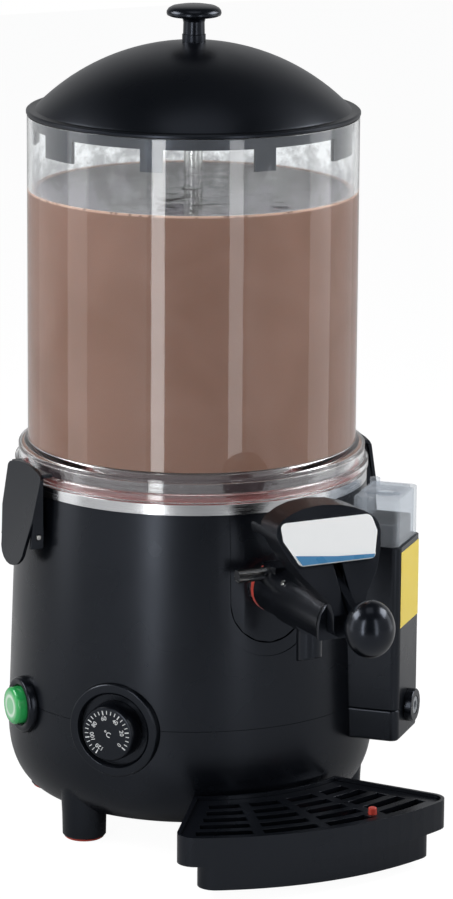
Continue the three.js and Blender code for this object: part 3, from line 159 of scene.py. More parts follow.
def slab(name, outline, low, high):
    """A flat outline of (x, y) points, extruded upwards."""
    piece = fresh(bpy.ops.mesh.primitive_circle_add, name, vertices=len(outline), fill_type="NGON")
    for vertex, (x, y) in zip(piece.data.vertices, outline):
        vertex.co = (x, y, low)
    bpy.ops.object.mode_set(mode="EDIT")
    bpy.ops.mesh.select_all(action="SELECT")
    bpy.ops.mesh.extrude_region_move(TRANSFORM_OT_translate={"value": (0, 0, high - low)})
    bpy.ops.object.mode_set(mode="OBJECT")
    return tidy_mesh(piece)


def moved(piece, turn=(0, 0, 0), to=(0, 0, 0)):
    """Turns a piece, in degrees about X, Y and Z, then shifts it, and applies both to its mesh."""
    only(piece)
    piece.rotation_euler = [math.radians(angle) for angle in turn]
    piece.location = to
    bpy.ops.object.transform_apply(location=True, rotation=True, scale=True)
    return piece


def about_axis(piece, angle):
    return moved(piece, turn=(0, 0, angle))


def facing_front(piece, height=0.0):
    """Lays a piece that was built upwards so that its top points to the front."""
    return moved(piece, turn=(90, 0, 0), to=(0, 0, height))


def front_slab(name, outline, near, far):
    """An outline of (x, z) points seen from the front, between two reaches forward."""
    return facing_front(slab(name, outline, near, far))


def box(name, x, reach, z):
    """A cuboid between two sideways places, two reaches forward and two heights."""
    centre = ((x[0] + x[1]) / 2, -(reach[0] + reach[1]) / 2, (z[0] + z[1]) / 2)
    scale = (x[1] - x[0], reach[1] - reach[0], z[1] - z[0])
    piece = fresh(bpy.ops.mesh.primitive_cube_add, name, size=1, location=centre)
    piece.scale = scale
    bpy.ops.object.transform_apply(location=True, rotation=True, scale=True)
    return piece


def boolean(piece, others, operation):
    for other in others:
        modifier = piece.modifiers.new(operation, "BOOLEAN")
        modifier.operation = operation
        modifier.solver = "EXACT"
        modifier.object = other
        apply_last(piece, modifier)
        bpy.data.objects.remove(other)
    return piece


def cut(piece, *others):
    return boolean(piece, others, "DIFFERENCE")


def fuse(piece, *others):
    return boolean(piece, others, "UNION")


def eased(piece, width, segments=2, angle=35):
    """Rounds the edges that are sharper than an angle."""
    modifier = piece.modifiers.new("eased", "BEVEL")
    modifier.width = width
    modifier.segments = segments
    modifier.limit_method = "ANGLE"
    modifier.angle_limit = math.radians(angle)
    apply_last(piece, modifier)
    return piece


def smooth(piece, angle=32):
    """Smooth shading below an angle, with the larger faces deciding how an edge looks."""
    only(piece)
    bpy.ops.object.shade_smooth_by_angle(angle=math.radians(angle))
    modifier = piece.modifiers.new("weighted", "WEIGHTED_NORMAL")
    modifier.keep_sharp = True
    apply_last(piece, modifier)
    return piece


def dressed(piece, material):
    """Gives a piece one material, in place of any that it has."""
    piece.data.materials.clear()
    piece.data.materials.append(material)


def placed(piece, body, material, stands_for=(), turn=0.0):
    """Puts a finished piece at its angle about the body's axis and hands it to the frame."""
    moved(piece, turn=(0, 0, turn), to=(0, AXIS_Y, 0))
    dressed(piece, material)
    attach(piece, body)
    if stands_for:
        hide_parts(*stands_for)
    return piece


def recast(node, material, width=EASED, segments=2, angle=35):
    """A copy of a CAD node with joined faces and rounded edges, which stands for it."""
    source = frame["nodes"][node]
    piece = bpy.data.objects.new(node + "_rounded", source.data.copy())
    bpy.context.scene.collection.objects.link(piece)
    tidy_mesh(piece, dissolve=True)
    if width:
        eased(piece, width, segments, angle)
    smooth(piece)
    dressed(piece, material)
    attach(piece, source["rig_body"])
    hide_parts(node)
    return piece


def arc(centre, radius, start, end, steps):
    """Points of an arc, from one angle to another in degrees."""
    angles = [math.radians(start + (end - start) * i / steps) for i in range(steps + 1)]
    return [(centre[0] + radius * math.cos(a), centre[1] + radius * math.sin(a)) for a in angles]


# Materials

def linear(colour):
    """An sRGB hex colour as linear red, green, blue and one."""
    channels = [int(colour[i:i + 2], 16) / 255 for i in (1, 3, 5)]
    return [*(c / 12.92 if c <= 0.04045 else ((c + 0.055) / 1.055) ** 2.4 for c in channels), 1]


def add(material, kind, links=None, stops=(), **settings):
    """Adds a node with its settings, and its sockets' values or links. The stops of a colour ramp
    are (place, colour or grey value)."""
    made = material.node_tree.nodes.new(kind)
    for key, value in settings.items():
        setattr(made, key, value)
    for socket, value in (links or {}).items():
        if isinstance(value, bpy.types.NodeSocket):
            material.node_tree.links.new(value, made.inputs[socket])
        else:
            made.inputs[socket].default_value = value
    if stops:
        elements = made.color_ramp.elements
        while len(elements) < len(stops):
            elements.new(0.5)
        for element, (place, value) in zip(elements, stops):
            element.position = place
            element.color = linear(value) if isinstance(value, str) else (value, value, value, 1)
    return made


def made_of(recipe, name, *looks):
    """A material. Its recipe adds nodes, whose patterns lie on a place in metres, and returns the
    last shader."""
    material = bpy.data.materials.new(name)
    material.use_nodes = True
    material.node_tree.nodes.clear()
    place = add(material, "ShaderNodeTexCoord").outputs["Object"]
    shader = recipe(material, place, *looks)
    add(material, "ShaderNodeOutputMaterial", {"Surface": shader.outputs[0]})
    return material


def grain_size(millimetres):
    """The scale at which one cell of a noise texture is this many millimetres."""
    return 1000 / millimetres


def distance_from(material, place, centre, plane):
    """How far a point lies from a centre, seen flat in the plane whose axes are 1."""
    offset = add(material, "ShaderNodeVectorMath", {0: place, 1: centre}, operation="SUBTRACT")
    flat = add(material, "ShaderNodeVectorMath", {
        0: offset.outputs[0], 1: plane}, operation="MULTIPLY")
    length = add(material, "ShaderNodeVectorMath", {0: flat.outputs[0]}, operation="LENGTH")
    return length.outputs["Value"]


def moulded_plastic(material, place, colour, lighter, roughness, grain, depth, sheen="#ffffff"):
    """Moulded plastic: one colour with slight clouding, and a fine spark-eroded grain that breaks
    up the highlight, whose tint is the sheen. The grain is drawn about three times coarser than it
    is, so that it shows."""
    clouds = add(material, "ShaderNodeTexNoise", {
        "Vector": place, "Scale": grain_size(60), "Detail": 3})
    fine = add(material, "ShaderNodeTexNoise", {
        "Vector": place, "Scale": grain_size(grain), "Detail": 2})
    bump = add(material, "ShaderNodeBump", {
        "Height": fine.outputs["Fac"], "Strength": 0.35, "Distance": depth})
    tone = add(material, "ShaderNodeValToRGB", {
        "Fac": clouds.outputs["Fac"]}, [(0.35, colour), (0.7, lighter)])
    gloss = add(material, "ShaderNodeValToRGB", {
        "Fac": clouds.outputs["Fac"]}, [(0.3, roughness - 0.04), (0.7, roughness + 0.04)])
    return add(material, "ShaderNodeBsdfPrincipled", {
        "Base Color": tone.outputs["Color"],
        "Roughness": gloss.outputs["Color"],
        "Normal": bump.outputs["Normal"],
        "IOR": 1.5,
        "Specular Tint": linear(sheen),
    })


def clear_plastic(material, place, tint, roughness, ior):
    """Thick clear plastic with a slightly wavy face, which wavers the mirror images of the lamps.
    Their light passes through it, unbent, to what is inside."""
    waves = add(material, "ShaderNodeTexNoise", {
        "Vector": place, "Scale": grain_size(40), "Detail": 1})
    bump = add(material, "ShaderNodeBump", {
        "Height": waves.outputs["Fac"], "Strength": 0.2, "Distance": 0.0004})
    body = add(material, "ShaderNodeBsdfPrincipled", {
        "Base Color": linear(tint),
        "Roughness": roughness,
        "IOR": ior,
        "Transmission Weight": 1,
        "Normal": bump.outputs["Normal"],
    })
    light_path = add(material, "ShaderNodeLightPath")
    through = add(material, "ShaderNodeBsdfTransparent", {"Color": linear(tint)})
    return add(material, "ShaderNodeMixShader", {
        0: light_path.outputs["Is Shadow Ray"], 1: body.outputs[0], 2: through.outputs[0]})


def thin_clear(material, place, tint):
    """Thin clear plastic, a little milky, whiter where it is seen at a slant."""
    waves = add(material, "ShaderNodeTexNoise", {
        "Vector": place, "Scale": grain_size(30), "Detail": 1})
    bump = add(material, "ShaderNodeBump", {
        "Height": waves.outputs["Fac"], "Strength": 0.2, "Distance": 0.0003})
    film = add(material, "ShaderNodeBsdfPrincipled", {
        "Base Color": linear(tint), "Roughness": 0.08, "Normal": bump.outputs["Normal"]})
    clear = add(material, "ShaderNodeBsdfTransparent", {"Color": linear("#f6f8fa")})
    slant = add(material, "ShaderNodeLayerWeight", {"Blend": 0.35})
    milk = add(material, "ShaderNodeValToRGB", {
        "Fac": slant.outputs["Facing"]}, [(0.0, 0.16), (0.7, 0.32), (1.0, 0.75)])
    return add(material, "ShaderNodeMixShader", {
        0: milk.outputs["Color"], 1: clear.outputs[0], 2: film.outputs[0]})


def brushed_stainless(material, place, colour, roughness, across, along):
    """Steel with lines round the axis, so that its highlight spreads up and down. The lines are
    drawn several times coarser than a brush leaves them, so that they show."""
    stretched = add(material, "ShaderNodeMapping", {
        "Vector": place, "Scale": (grain_size(along), grain_size(along), grain_size(across))})
    lines = add(material, "ShaderNodeTexNoise", {
        "Vector": stretched.outputs["Vector"], "Scale": 1.0, "Detail": 3})
    bump = add(material, "ShaderNodeBump", {
        "Height": lines.outputs["Fac"], "Strength": 0.15, "Distance": 0.0001})
    gloss = add(material, "ShaderNodeValToRGB", {
        "Fac": lines.outputs["Fac"]}, [(0.3, roughness - 0.06), (0.7, roughness + 0.08)])
    return add(material, "ShaderNodeBsdfPrincipled", {
        "Base Color": linear(colour),
        "Metallic": 1,
        "Roughness": gloss.outputs["Color"],
        "Normal": bump.outputs["Normal"],
    })


def silicone(material, place, colour, darker):
    """Moulded silicone rubber: soft, slightly waxy and a little uneven in colour."""
    clouds = add(material, "ShaderNodeTexNoise", {
        "Vector": place, "Scale": grain_size(8), "Detail": 3})
    tone = add(material, "ShaderNodeValToRGB", {
        "Fac": clouds.outputs["Fac"]}, [(0.3, darker), (0.7, colour)])
    return add(material, "ShaderNodeBsdfPrincipled", {
        "Base Color": tone.outputs["Color"],
        "Roughness": 0.5,
        "Sheen Weight": 0.15,
    })


def silicone_in_painted_shade(material, place, colour, shade, low, high):
    """Silicone whose lip turns dark from one height to another: painted shade under the bowl's
    foot.
    """
    parts = add(material, "ShaderNodeSeparateXYZ", {"Vector": place})
    rise = add(material, "ShaderNodeMapRange", {
        "Value": parts.outputs["Z"], "From Min": low, "From Max": high})
    # Painted shade: the colour darkens up the lip, into the shade under the bowl's foot
    tone = add(material, "ShaderNodeValToRGB", {
        "Fac": rise.outputs["Result"]}, [(0.0, colour), (1.0, shade)])
    return add(material, "ShaderNodeBsdfPrincipled", {
        "Base Color": tone.outputs["Color"],
        "Roughness": 0.5,
    })


def lens_plastic(material, place, middle, ring, rim):
    """Translucent lens, deeper green towards its rim, with a painted highlight: a pale middle and
    a paler ring.
    """
    radius = distance_from(material, place, (0, AXIS_Y, CONTROL_HEIGHT), (0, 1, 1))
    share = add(material, "ShaderNodeMapRange", {"Value": radius, "From Max": LENS_RADIUS})
    # Painted highlight: the pale middle and the near-white ring; the rim keeps the lens's own
    # green
    tone = add(material, "ShaderNodeValToRGB", {"Fac": share.outputs["Result"]}, [
        (0.40, middle), (0.50, ring), (0.56, ring), (0.64, middle), (0.86, rim)])
    return add(material, "ShaderNodeBsdfPrincipled", {
        "Base Color": tone.outputs["Color"],
        "Roughness": 0.12,
        "Subsurface Weight": 0.3,
        "Subsurface Radius": (0.002, 0.004, 0.002),
        "Coat Weight": 0.6,
    })


def gloss_paint(material, place, colour, roughness):
    """Smooth printed or glossy surface with a faint unevenness in its gloss."""
    clouds = add(material, "ShaderNodeTexNoise", {
        "Vector": place, "Scale": grain_size(15), "Detail": 2})
    gloss = add(material, "ShaderNodeValToRGB", {
        "Fac": clouds.outputs["Fac"]}, [(0.3, roughness), (0.7, roughness + 0.08)])
    return add(material, "ShaderNodeBsdfPrincipled", {
        "Base Color": linear(colour),
        "Roughness": gloss.outputs["Color"],
    })


def drink_chocolate(material, place, colour, darker, froth, shaded_top_colour):
    """Milky chocolate: opaque with faint swirls, froth along the wall, and a rippled top in
    painted shade.
    """
    swirl = add(material, "ShaderNodeTexNoise", {
        "Vector": place, "Scale": grain_size(70), "Detail": 4, "Distortion": 1.5})
    body = add(material, "ShaderNodeValToRGB", {
        "Fac": swirl.outputs["Fac"]}, [(0.3, darker), (0.7, colour)])
    parts = add(material, "ShaderNodeSeparateXYZ", {"Vector": place})
    top = add(material, "ShaderNodeMapRange", {
        "Value": parts.outputs["Z"],
        "From Min": DRINK_TOP - 0.0015,
        "From Max": DRINK_TOP - 0.0005,
    })
    # Painted shade: the top is coloured dark for the shade under the lid
    body_with_shaded_top = add(material, "ShaderNodeMix", {
        0: top.outputs["Result"], 6: body.outputs["Color"], 7: linear(shaded_top_colour)}, data_type="RGBA")

    radius = distance_from(material, place, (0, AXIS_Y, 0), (1, 1, 0))
    edge = add(material, "ShaderNodeMapRange", {
        "Value": radius, "From Min": FROTH_INNER, "From Max": FROTH_OUTER})
    bubbles = add(material, "ShaderNodeTexVoronoi", {"Vector": place, "Scale": grain_size(4)})
    cells = add(material, "ShaderNodeValToRGB", {
        "Fac": bubbles.outputs["Distance"]}, [(0.1, 0.2), (0.45, 1.0)])
    ring = add(material, "ShaderNodeMath", {
        0: top.outputs["Result"], 1: edge.outputs["Result"]}, operation="MULTIPLY")
    foam = add(material, "ShaderNodeMath", {
        0: ring.outputs[0], 1: cells.outputs["Color"]}, operation="MULTIPLY")
    mixed = add(material, "ShaderNodeMix", {
        0: foam.outputs[0], 6: body_with_shaded_top.outputs[2], 7: linear(froth)}, data_type="RGBA")

    ripples = add(material, "ShaderNodeTexNoise", {
        "Vector": place, "Scale": grain_size(24), "Detail": 3, "Distortion": 0.8})
    bump = add(material, "ShaderNodeBump", {
        "Height": ripples.outputs["Fac"], "Strength": top.outputs["Result"], "Distance": 0.0008})
    gloss = add(material, "ShaderNodeValToRGB", {
        "Fac": top.outputs["Result"]}, [(0.0, 0.25), (1.0, 0.07)])
    return add(material, "ShaderNodeBsdfPrincipled", {
        "Base Color": mixed.outputs[2],
        "Roughness": gloss.outputs["Color"],
        "Normal": bump.outputs["Normal"],
        "IOR": 1.15,
        "Subsurface Weight": 0.2,
        "Subsurface Radius": (0.004, 0.002, 0.0015),
    })


def splash_mottle(material, place, colour):
    """A thin mottled film of dried drink on the wall above its level, thicker low down."""
    blots = add(material, "ShaderNodeTexNoise", {
        "Vector": place, "Scale": grain_size(14), "Detail": 5, "Roughness": 0.65})
    parts = add(material, "ShaderNodeSeparateXYZ", {"Vector": place})
    low = add(material, "ShaderNodeMapRange", {
        "Value": parts.outputs["Z"],
        "From Min": DRINK_TOP,
        "From Max": SPLASH_TOP,
        "To Min": 0.34,
        "To Max": 0.02,
    })
    spread = add(material, "ShaderNodeMath", {0: blots.outputs["Fac"], 1: low.outputs["Result"]})
    cover = add(material, "ShaderNodeValToRGB", {
        "Fac": spread.outputs[0]}, [(0.70, 0.0), (0.90, 0.3)])
    film = add(material, "ShaderNodeBsdfPrincipled", {
        "Base Color": linear(colour), "Roughness": 0.5})
    clear = add(material, "ShaderNodeBsdfTransparent")
    return add(material, "ShaderNodeMixShader", {
        0: cover.outputs["Color"], 1: clear.outputs[0], 2: film.outputs[0]})


# Moulded ABS, satin: long soft highlights with blurred sides
housing_abs = made_of(
    moulded_plastic, "satin_black_abs", "#06080c", "#090b10", 0.27, 1.2, 0.00005, "#dde6f7")
trim_abs = made_of(moulded_plastic, "grey_abs", "#8b8f93", "#94989c", 0.35, 1.0, 0.00006)
# Moulded polypropylene, matt: broader and weaker highlights
lid_pp = made_of(
    moulded_plastic, "matt_black_polypropylene", "#030406", "#05060a", 0.31, 0.9, 0.00006,
    "#d4dff5")
paddle_pp = made_of(
    moulded_plastic, "white_polypropylene", "#eceded", "#f3f4f4", 0.35, 1.0, 0.00006)
# Moulded nylon, smooth: the smallest and brightest highlights of the black pieces
tap_nylon = made_of(
    moulded_plastic, "smooth_black_nylon", "#05070a", "#090a0e", 0.22, 2.0, 0.00004, "#dce6fa")
# Polycarbonate: a clear wall with sharp upright streaks of light, and a thin milky cover
bowl_clear = made_of(clear_plastic, "clear_polycarbonate", "#fafcfd", 0.045, 1.45)
cover_clear = made_of(thin_clear, "clear_cover_polycarbonate", "#dfe4ea")
# Steel: brushed sheet that shines in a band, turned rod with short glints, and dull zinc plate
stainless = made_of(brushed_stainless, "brushed_stainless", "#dddee0", 0.2, 0.4, 30)
pin_steel = made_of(brushed_stainless, "turned_steel", "#bdbdbb", 0.2, 0.5, 6)
zinc_steel = made_of(brushed_stainless, "zinc_plated_steel", "#9a9c9e", 0.4, 2, 2)
# Silicone rubber: waxy red, and a seal in painted shade, dark red with a lip that goes near black
# under the bowl's foot
red_silicone = made_of(silicone, "red_silicone", "#c9402f", "#b53325")
seal_silicone = made_of(
    silicone_in_painted_shade, "seal_silicone", "#74302c", "#2c1a1d",
    bowl_low.z + 0.0005, bowl_low.z + 0.0045)
# Polished lens: green with a glassy coat, and a painted highlight in its pale middle and ring
green_lens = made_of(lens_plastic, "green_lens", "#8fd3a0", "#d9f0dd", "#2fae5c")
# Lacquer, screen print and vinyl film: flat even colours with a soft gloss
white_panel = made_of(gloss_paint, "white_panel_lacquer", "#fbfcfc", 0.18)
blue_print = made_of(gloss_paint, "blue_screen_print", "#3d7fae", 0.25)
white_print = made_of(gloss_paint, "white_screen_print", "#d9dbdc", 0.4)
yellow_film = made_of(gloss_paint, "yellow_vinyl_film", "#f3d84a", 0.3)
# The drink, and what it leaves on the wall above it
# The last colour is the drink's top, painted dark as the shade under the lid
chocolate = made_of(drink_chocolate, "milky_chocolate", "#7c6156", "#72574b", "#b79a8a", "#33282a")
splash = made_of(splash_mottle, "chocolate_splashes", "#77737a")


# Camera, at the photograph's view: metres, degrees and millimetres of lens

CAMERA_AZIMUTH = -26.0
CAMERA_YAW = 0.47
CAMERA_PITCH = 13.38
CAMERA_ROLL = 0.412
CAMERA_DISTANCE = 3.0
CAMERA_HEIGHT = 0.975
CAMERA_LENS = 174.4
CAMERA_SENSOR = 36
CAMERA_SIGHT = 50


def make_camera():
    azimuth = math.radians(CAMERA_AZIMUTH)
    heading = math.radians(CAMERA_AZIMUTH - CAMERA_YAW)
    pitch = math.radians(CAMERA_PITCH)
    roll = math.radians(CAMERA_ROLL)
    flat = Vector((-math.sin(heading), math.cos(heading), 0))
    forward = flat * math.cos(pitch) + Vector((0, 0, -math.sin(pitch)))
    level_right = forward.cross(Vector((0, 0, 1))).normalized()
    level_up = level_right.cross(forward)
    right = level_right * math.cos(roll) + level_up * math.sin(roll)
    up = level_up * math.cos(roll) - level_right * math.sin(roll)
    bpy.ops.object.camera_add()
    camera = bpy.context.object
    camera.data.lens = CAMERA_LENS
    camera.data.sensor_width = CAMERA_SENSOR
    camera.data.clip_end = CAMERA_SIGHT
    rotation = Matrix((right, up, -forward)).transposed().to_4x4()
    place = Vector((
        CAMERA_DISTANCE * math.sin(azimuth),
        AXIS_Y - CAMERA_DISTANCE * math.cos(azimuth),
        CAMERA_HEIGHT,
    ))
    camera.matrix_world = Matrix.Translation(place) @ rotation
    bpy.context.scene.camera = camera


make_camera()


# Housing

def housing_radius(height):
    share = (height - WAIST_HEIGHT) / (HOUSING_TOP - WAIST_HEIGHT)
    return WAIST_RADIUS + (HOUSING_TOP_RADIUS - WAIST_RADIUS) * share


def wall_rows(low, high, rows):
    """Points up the tapered wall, close enough together for smooth shading."""
    heights = [low + (high - low) * i / rows for i in range(rows + 1)]
    return [(housing_radius(height), height) for height in heights]


def bottom_curve(inset, steps=20):
    """The superellipse between the flat bottom and the waist."""
    roundness = 2.27
    points = []
    for i in range(steps + 1):
        turn = math.pi / 2 * (1 - i / steps)
        out = math.cos(turn) ** (2 / roundness)
        down = math.sin(turn) ** (2 / roundness)
        radius = FLOOR_RADIUS + (WAIST_RADIUS - inset - FLOOR_RADIUS) * out
        points.append((radius, WAIST_HEIGHT - (WAIST_HEIGHT - FLOOR_HEIGHT - inset) * down))
    return points


def box_plan(half_width, root, reach, corner, steps=8):
    """The side box seen from above, from its root in the round body to its outer corners."""
    left = arc((-half_width + corner, -reach + corner), corner, 180, 270, steps)
    right = arc((half_width - corner, -reach + corner), corner, 270, 360, steps)
    return [(-half_width, -root), *left, *right, (half_width, -root)]


def u_outline(half_width, centre, top, steps=32):
    return [*arc((0, centre), half_width, 180, 360, steps), (half_width, top), (-half_width, top)]


def front_rod(name, radius, near, far, height, x=0.0):
    """A rod that points to the front, between two distances forward of the axis."""
    rod = turned(name, [(0, near), (radius, near), (radius, far), (0, far)], SMALL_ROUND)
    return moved(rod, turn=(90, 0, 0), to=(x, 0, height))


# How far a cutter goes past what it cuts, and its reaches on both sides of the round wall
PAST = 0.004
CUT_NEAR = 0.108
CUT_FAR = 0.17

# Holes for the dial, the switch and the drain: radius, near end and angle
CONTROL_HOLES = {
    "dial_hole": (0.0333, CUT_NEAR, DIAL_ANGLE),
    "switch_hole": (0.0163, CUT_NEAR, SWITCH_ANGLE),
    "drain_hole": (0.0083, 0.15, BOX_ANGLE),
}


def control_holes():
    return [
        about_axis(front_rod(name, radius, near, CUT_FAR, CONTROL_HEIGHT), angle)
        for name, (radius, near, angle) in CONTROL_HOLES.items()
    ]


# The side box. Each plan is half width, root, reach and corner radius.
SIDE_BOX_TOP = 0.209
SIDE_BOX_BOTTOM = 0.069
SIDE_BOX_WALL = 0.0025
SIDE_BOX_REACH = 0.162
OUTER_PLAN = (0.026, 0.108, SIDE_BOX_REACH, 0.006)
INNER_PLAN = (0.0235, 0.120, 0.1595, 0.0035)


def side_box(name, plan, low, high):
    return about_axis(slab(name, box_plan(*plan), low, high), BOX_ANGLE)


# The slot for the tap's root, and the shallow recess round it
SLOT_CENTRE = 0.1814
SLOT_HALF_WIDTH = 0.0294
PANEL_HALF_WIDTH = 0.0386
PANEL_DEPTH = 0.0007


def wall_cutter(name, half_width):
    """A cutter through the front wall, round below and open at the top."""
    return front_slab(
        name, u_outline(half_width, SLOT_CENTRE, HOUSING_TOP + PAST), CUT_NEAR, CUT_FAR)


def upper_housing():
    low = SEAM_HEIGHT + SEAM_GAP / 2
    wall = HOUSING_WALL
    lip = HOUSING_TOP_RADIUS - 0.008
    shell = turned("upper_housing", [
        *wall_rows(low, HOUSING_TOP, 30),
        (lip, HOUSING_TOP),
        (lip, HOUSING_TOP - wall),
        (housing_radius(HOUSING_TOP) - wall, HOUSING_TOP - wall),
        (housing_radius(low) - wall, low),
    ])
    inside = turned("inside", [
        (0, low - PAST),
        (housing_radius(low - PAST) - wall, low - PAST),
        (housing_radius(HOUSING_TOP) - wall, HOUSING_TOP),
        (0, HOUSING_TOP),
    ])
    side = cut(side_box("side", OUTER_PLAN, low, SIDE_BOX_TOP), inside)
    well = side_box("well", INNER_PLAN, low - PAST, SIDE_BOX_TOP + PAST)
    roof = about_axis(box(
        "roof", (-0.03, 0.03), (0, housing_radius(SIDE_BOX_TOP)),
        (SIDE_BOX_TOP - SIDE_BOX_WALL, SIDE_BOX_TOP + 0.01)), BOX_ANGLE)
    well = cut(well, roof)

    above = HOUSING_TOP + 0.01
    panel = cut(wall_cutter("panel", PANEL_HALF_WIDTH), turned("core", [
        (0, low),
        (housing_radius(low) - PANEL_DEPTH, low),
        (housing_radius(above) - PANEL_DEPTH, above),
        (0, above),
    ]))
    shell = fuse(shell, side)
    shell = cut(shell, wall_cutter("slot", SLOT_HALF_WIDTH), well, *control_holes())
    eased(shell, HOUSING_EASED, angle=FIRM_CREASE)
    # The recess is too shallow to round its edge, so it is cut last. The bevel's slivers are
    # merged first, because the cut fails now and then with them.
    tidy_mesh(shell)
    shell = tidy_mesh(cut(shell, tidy_mesh(panel)))
    return placed(smooth(shell), "machine", housing_abs, ["body_shell"])


LEG_ANGLES = [69.4, 137.6, -137.6, -69.4]
LEG_REACH = 0.108
LEG_LOW = 0.0019
FOOT_HIGH = 0.0017


def at_leg(piece, angle):
    """Shifts a piece from the axis to the leg at an angle."""
    turn = math.radians(angle)
    return moved(piece, to=(LEG_REACH * math.sin(turn), -LEG_REACH * math.cos(turn), 0))


def leg(angle):
    """A leg that widens into the bottom of the base."""
    return at_leg(turned("leg", [
        (0, LEG_LOW), (0.0147, LEG_LOW), (0.0153, 0.0027), (0.0156, 0.018), (0.0163, 0.030),
        (0.0175, 0.038), (0.0195, 0.046), (0.0205, 0.052), (0, 0.052),
    ], SMALL_ROUND), angle)


def base_housing():
    high = SEAM_HEIGHT - SEAM_GAP / 2
    wall = HOUSING_WALL
    outside = turned("base_housing", [
        (0, FLOOR_HEIGHT), *bottom_curve(0), *wall_rows(WAIST_HEIGHT, high, 3)[1:], (0, high)])
    side = eased(side_box("side", OUTER_PLAN, SIDE_BOX_BOTTOM, high), 0.002, 3, 60)
    outside = fuse(outside, side, *[leg(angle) for angle in LEG_ANGLES])
    inside = turned("inside", [
        (0, FLOOR_HEIGHT + wall), *bottom_curve(wall),
        (housing_radius(high) - wall, high + PAST), (0, high + PAST)])
    well = side_box("well", INNER_PLAN, SIDE_BOX_BOTTOM + SIDE_BOX_WALL, high + PAST)
    gland = about_axis(front_rod("gland_hole", 0.0083, 0.115, 0.134, 0.058), BACK_ANGLE)
    prongs = [front_rod("prong", 0.0035, 0.117, 0.152, 0.036, x) for x in (-0.038, 0.038)]
    shell = cut(outside, inside, well, gland, *control_holes())
    shell = fuse(shell, *prongs)
    eased(shell, HOUSING_EASED, angle=FIRM_CREASE)
    return placed(smooth(shell), "machine", housing_abs, ["base_shell"])


def foot_pads():
    for i, angle in enumerate(LEG_ANGLES):
        pad = at_leg(turned("foot_cushion_" + str(i + 1), [
            (0, 0), (0.0130, 0), (0.0138, 0.0006), (0.0138, 0.0013), (0.0134, FOOT_HIGH),
            (0, FOOT_HIGH),
        ], SMALL_ROUND), angle)
        placed(smooth(pad), "machine", red_silicone, ["foot_pad_" + str(i + 1)])


upper_housing()
base_housing()
foot_pads()


# Pan, bowl and lid

# The cross hole for the lock pin, in the outlet tube
PIN_HOLE_RADIUS = 0.0049
PIN_HOLE_REACH = 0.139
PIN_HOLE_HEIGHT = 0.2056


def steel_pan():
    pan = turned("steel_pan", [
        (0.0035, 0.474), (0.0035, 0.157), (0.00475, 0.157), (0.00475, 0.176),
        (0.1065, 0.176), (0.1065, 0.2478), (0.1226, 0.2478), (0.1226, 0.2442),
        (0.1241, 0.2442), (0.1241, 0.2514), (0.1226, 0.2514), (0.1226, 0.2493),
        (0.110, 0.2493), (0.110, 0.268), (0.1085, 0.268), (0.1085, 0.2493),
        (0.105, 0.2493), (0.105, 0.1775), (0.00475, 0.1775), (0.00475, 0.474),
    ])
    tube = fuse(
        front_rod("tube", 0.0095, 0.1055, 0.150, OUTLET_HEIGHT),
        front_rod("flange", 0.0165, 0.1223, 0.1282, OUTLET_HEIGHT))
    groove = turned("groove", [
        (0, -0.02), (PIN_HOLE_RADIUS, -0.02), (PIN_HOLE_RADIUS, 0.02), (0, 0.02)], SMALL_ROUND)
    moved(groove, turn=(0, 90, 0), to=(0, -PIN_HOLE_REACH, PIN_HOLE_HEIGHT))
    pan = cut(fuse(pan, tube), front_rod("bore", 0.007, 0.101, 0.154, OUTLET_HEIGHT), groove)
    eased(pan, 0.0004, angle=FIRM_CREASE)
    return placed(smooth(pan), "machine", stainless, ["steel_tank"])


# The bowl's wall, and its hollow foot: skirt, ring for the latches and shoulder
BOWL_RADIUS = 0.1159
BOWL_WALL = 0.003
SKIRT_RADIUS = 0.1225
SKIRT_DEPTH = 0.0132
RING_RADIUS = 0.125
RING_HEIGHT = 0.0062
SHOULDER_LOW = 0.0162
SHOULDER_HIGH = 0.0195


def clear_bowl():
    inner = BOWL_RADIUS - BOWL_WALL
    skirt_inner = SKIRT_RADIUS - BOWL_WALL
    low, high = bowl_low.z, bowl_high.z
    bowl = turned("clear_bowl", [
        (inner, low),
        (BOWL_RADIUS, low),
        (BOWL_RADIUS, low + SKIRT_DEPTH),
        (skirt_inner, low + SKIRT_DEPTH),
        (skirt_inner, low),
        (RING_RADIUS, low),
        (RING_RADIUS, low + RING_HEIGHT),
        (SKIRT_RADIUS, low + RING_HEIGHT),
        (SKIRT_RADIUS, low + SHOULDER_LOW),
        (BOWL_RADIUS, low + SHOULDER_HIGH),
        (BOWL_RADIUS, high),
        (inner, high),
    ])
    eased(bowl, 0.0007, 3, 25)
    return placed(smooth(bowl), "machine", bowl_clear, ["bowl"])


def bowl_gasket():
    low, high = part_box("bowl_seal")
    flange = low.z + 0.0025
    seal = turned("bowl_gasket", [
        (0.1103, low.z), (0.121, low.z), (0.121, flange), (0.1126, flange),
        (0.1126, high.z), (0.1103, high.z),
    ])
    eased(seal, 0.0006)
    return placed(smooth(seal), "machine", seal_silicone, ["bowl_seal"])


def drink():
    """The drink in the bowl, pressed a little into the wall so that no air shows between them, and
    the film that it leaves on the wall above."""
    radius = BOWL_RADIUS - BOWL_WALL + 0.0002
    column = 0.0068
    wet = DRINK_TOP + 0.0005
    fill = turned("drink", [
        (column, DRINK_BOTTOM), (radius, DRINK_BOTTOM), (radius, wet), (radius - 0.0012, wet),
        (radius - 0.003, DRINK_TOP + 0.0001), (radius - 0.012, DRINK_TOP),
        (column + 0.004, DRINK_TOP), (column, DRINK_TOP + 0.0006),
    ])
    placed(smooth(fill, 60), "machine", chocolate)
    outer, inner = radius - 0.0003, radius - 0.0006
    low = DRINK_TOP + 0.0004
    film = turned("splash_film", [
        (inner, low), (outer, low), (outer, SPLASH_TOP), (inner, SPLASH_TOP)])
    placed(smooth(film), "machine", splash)


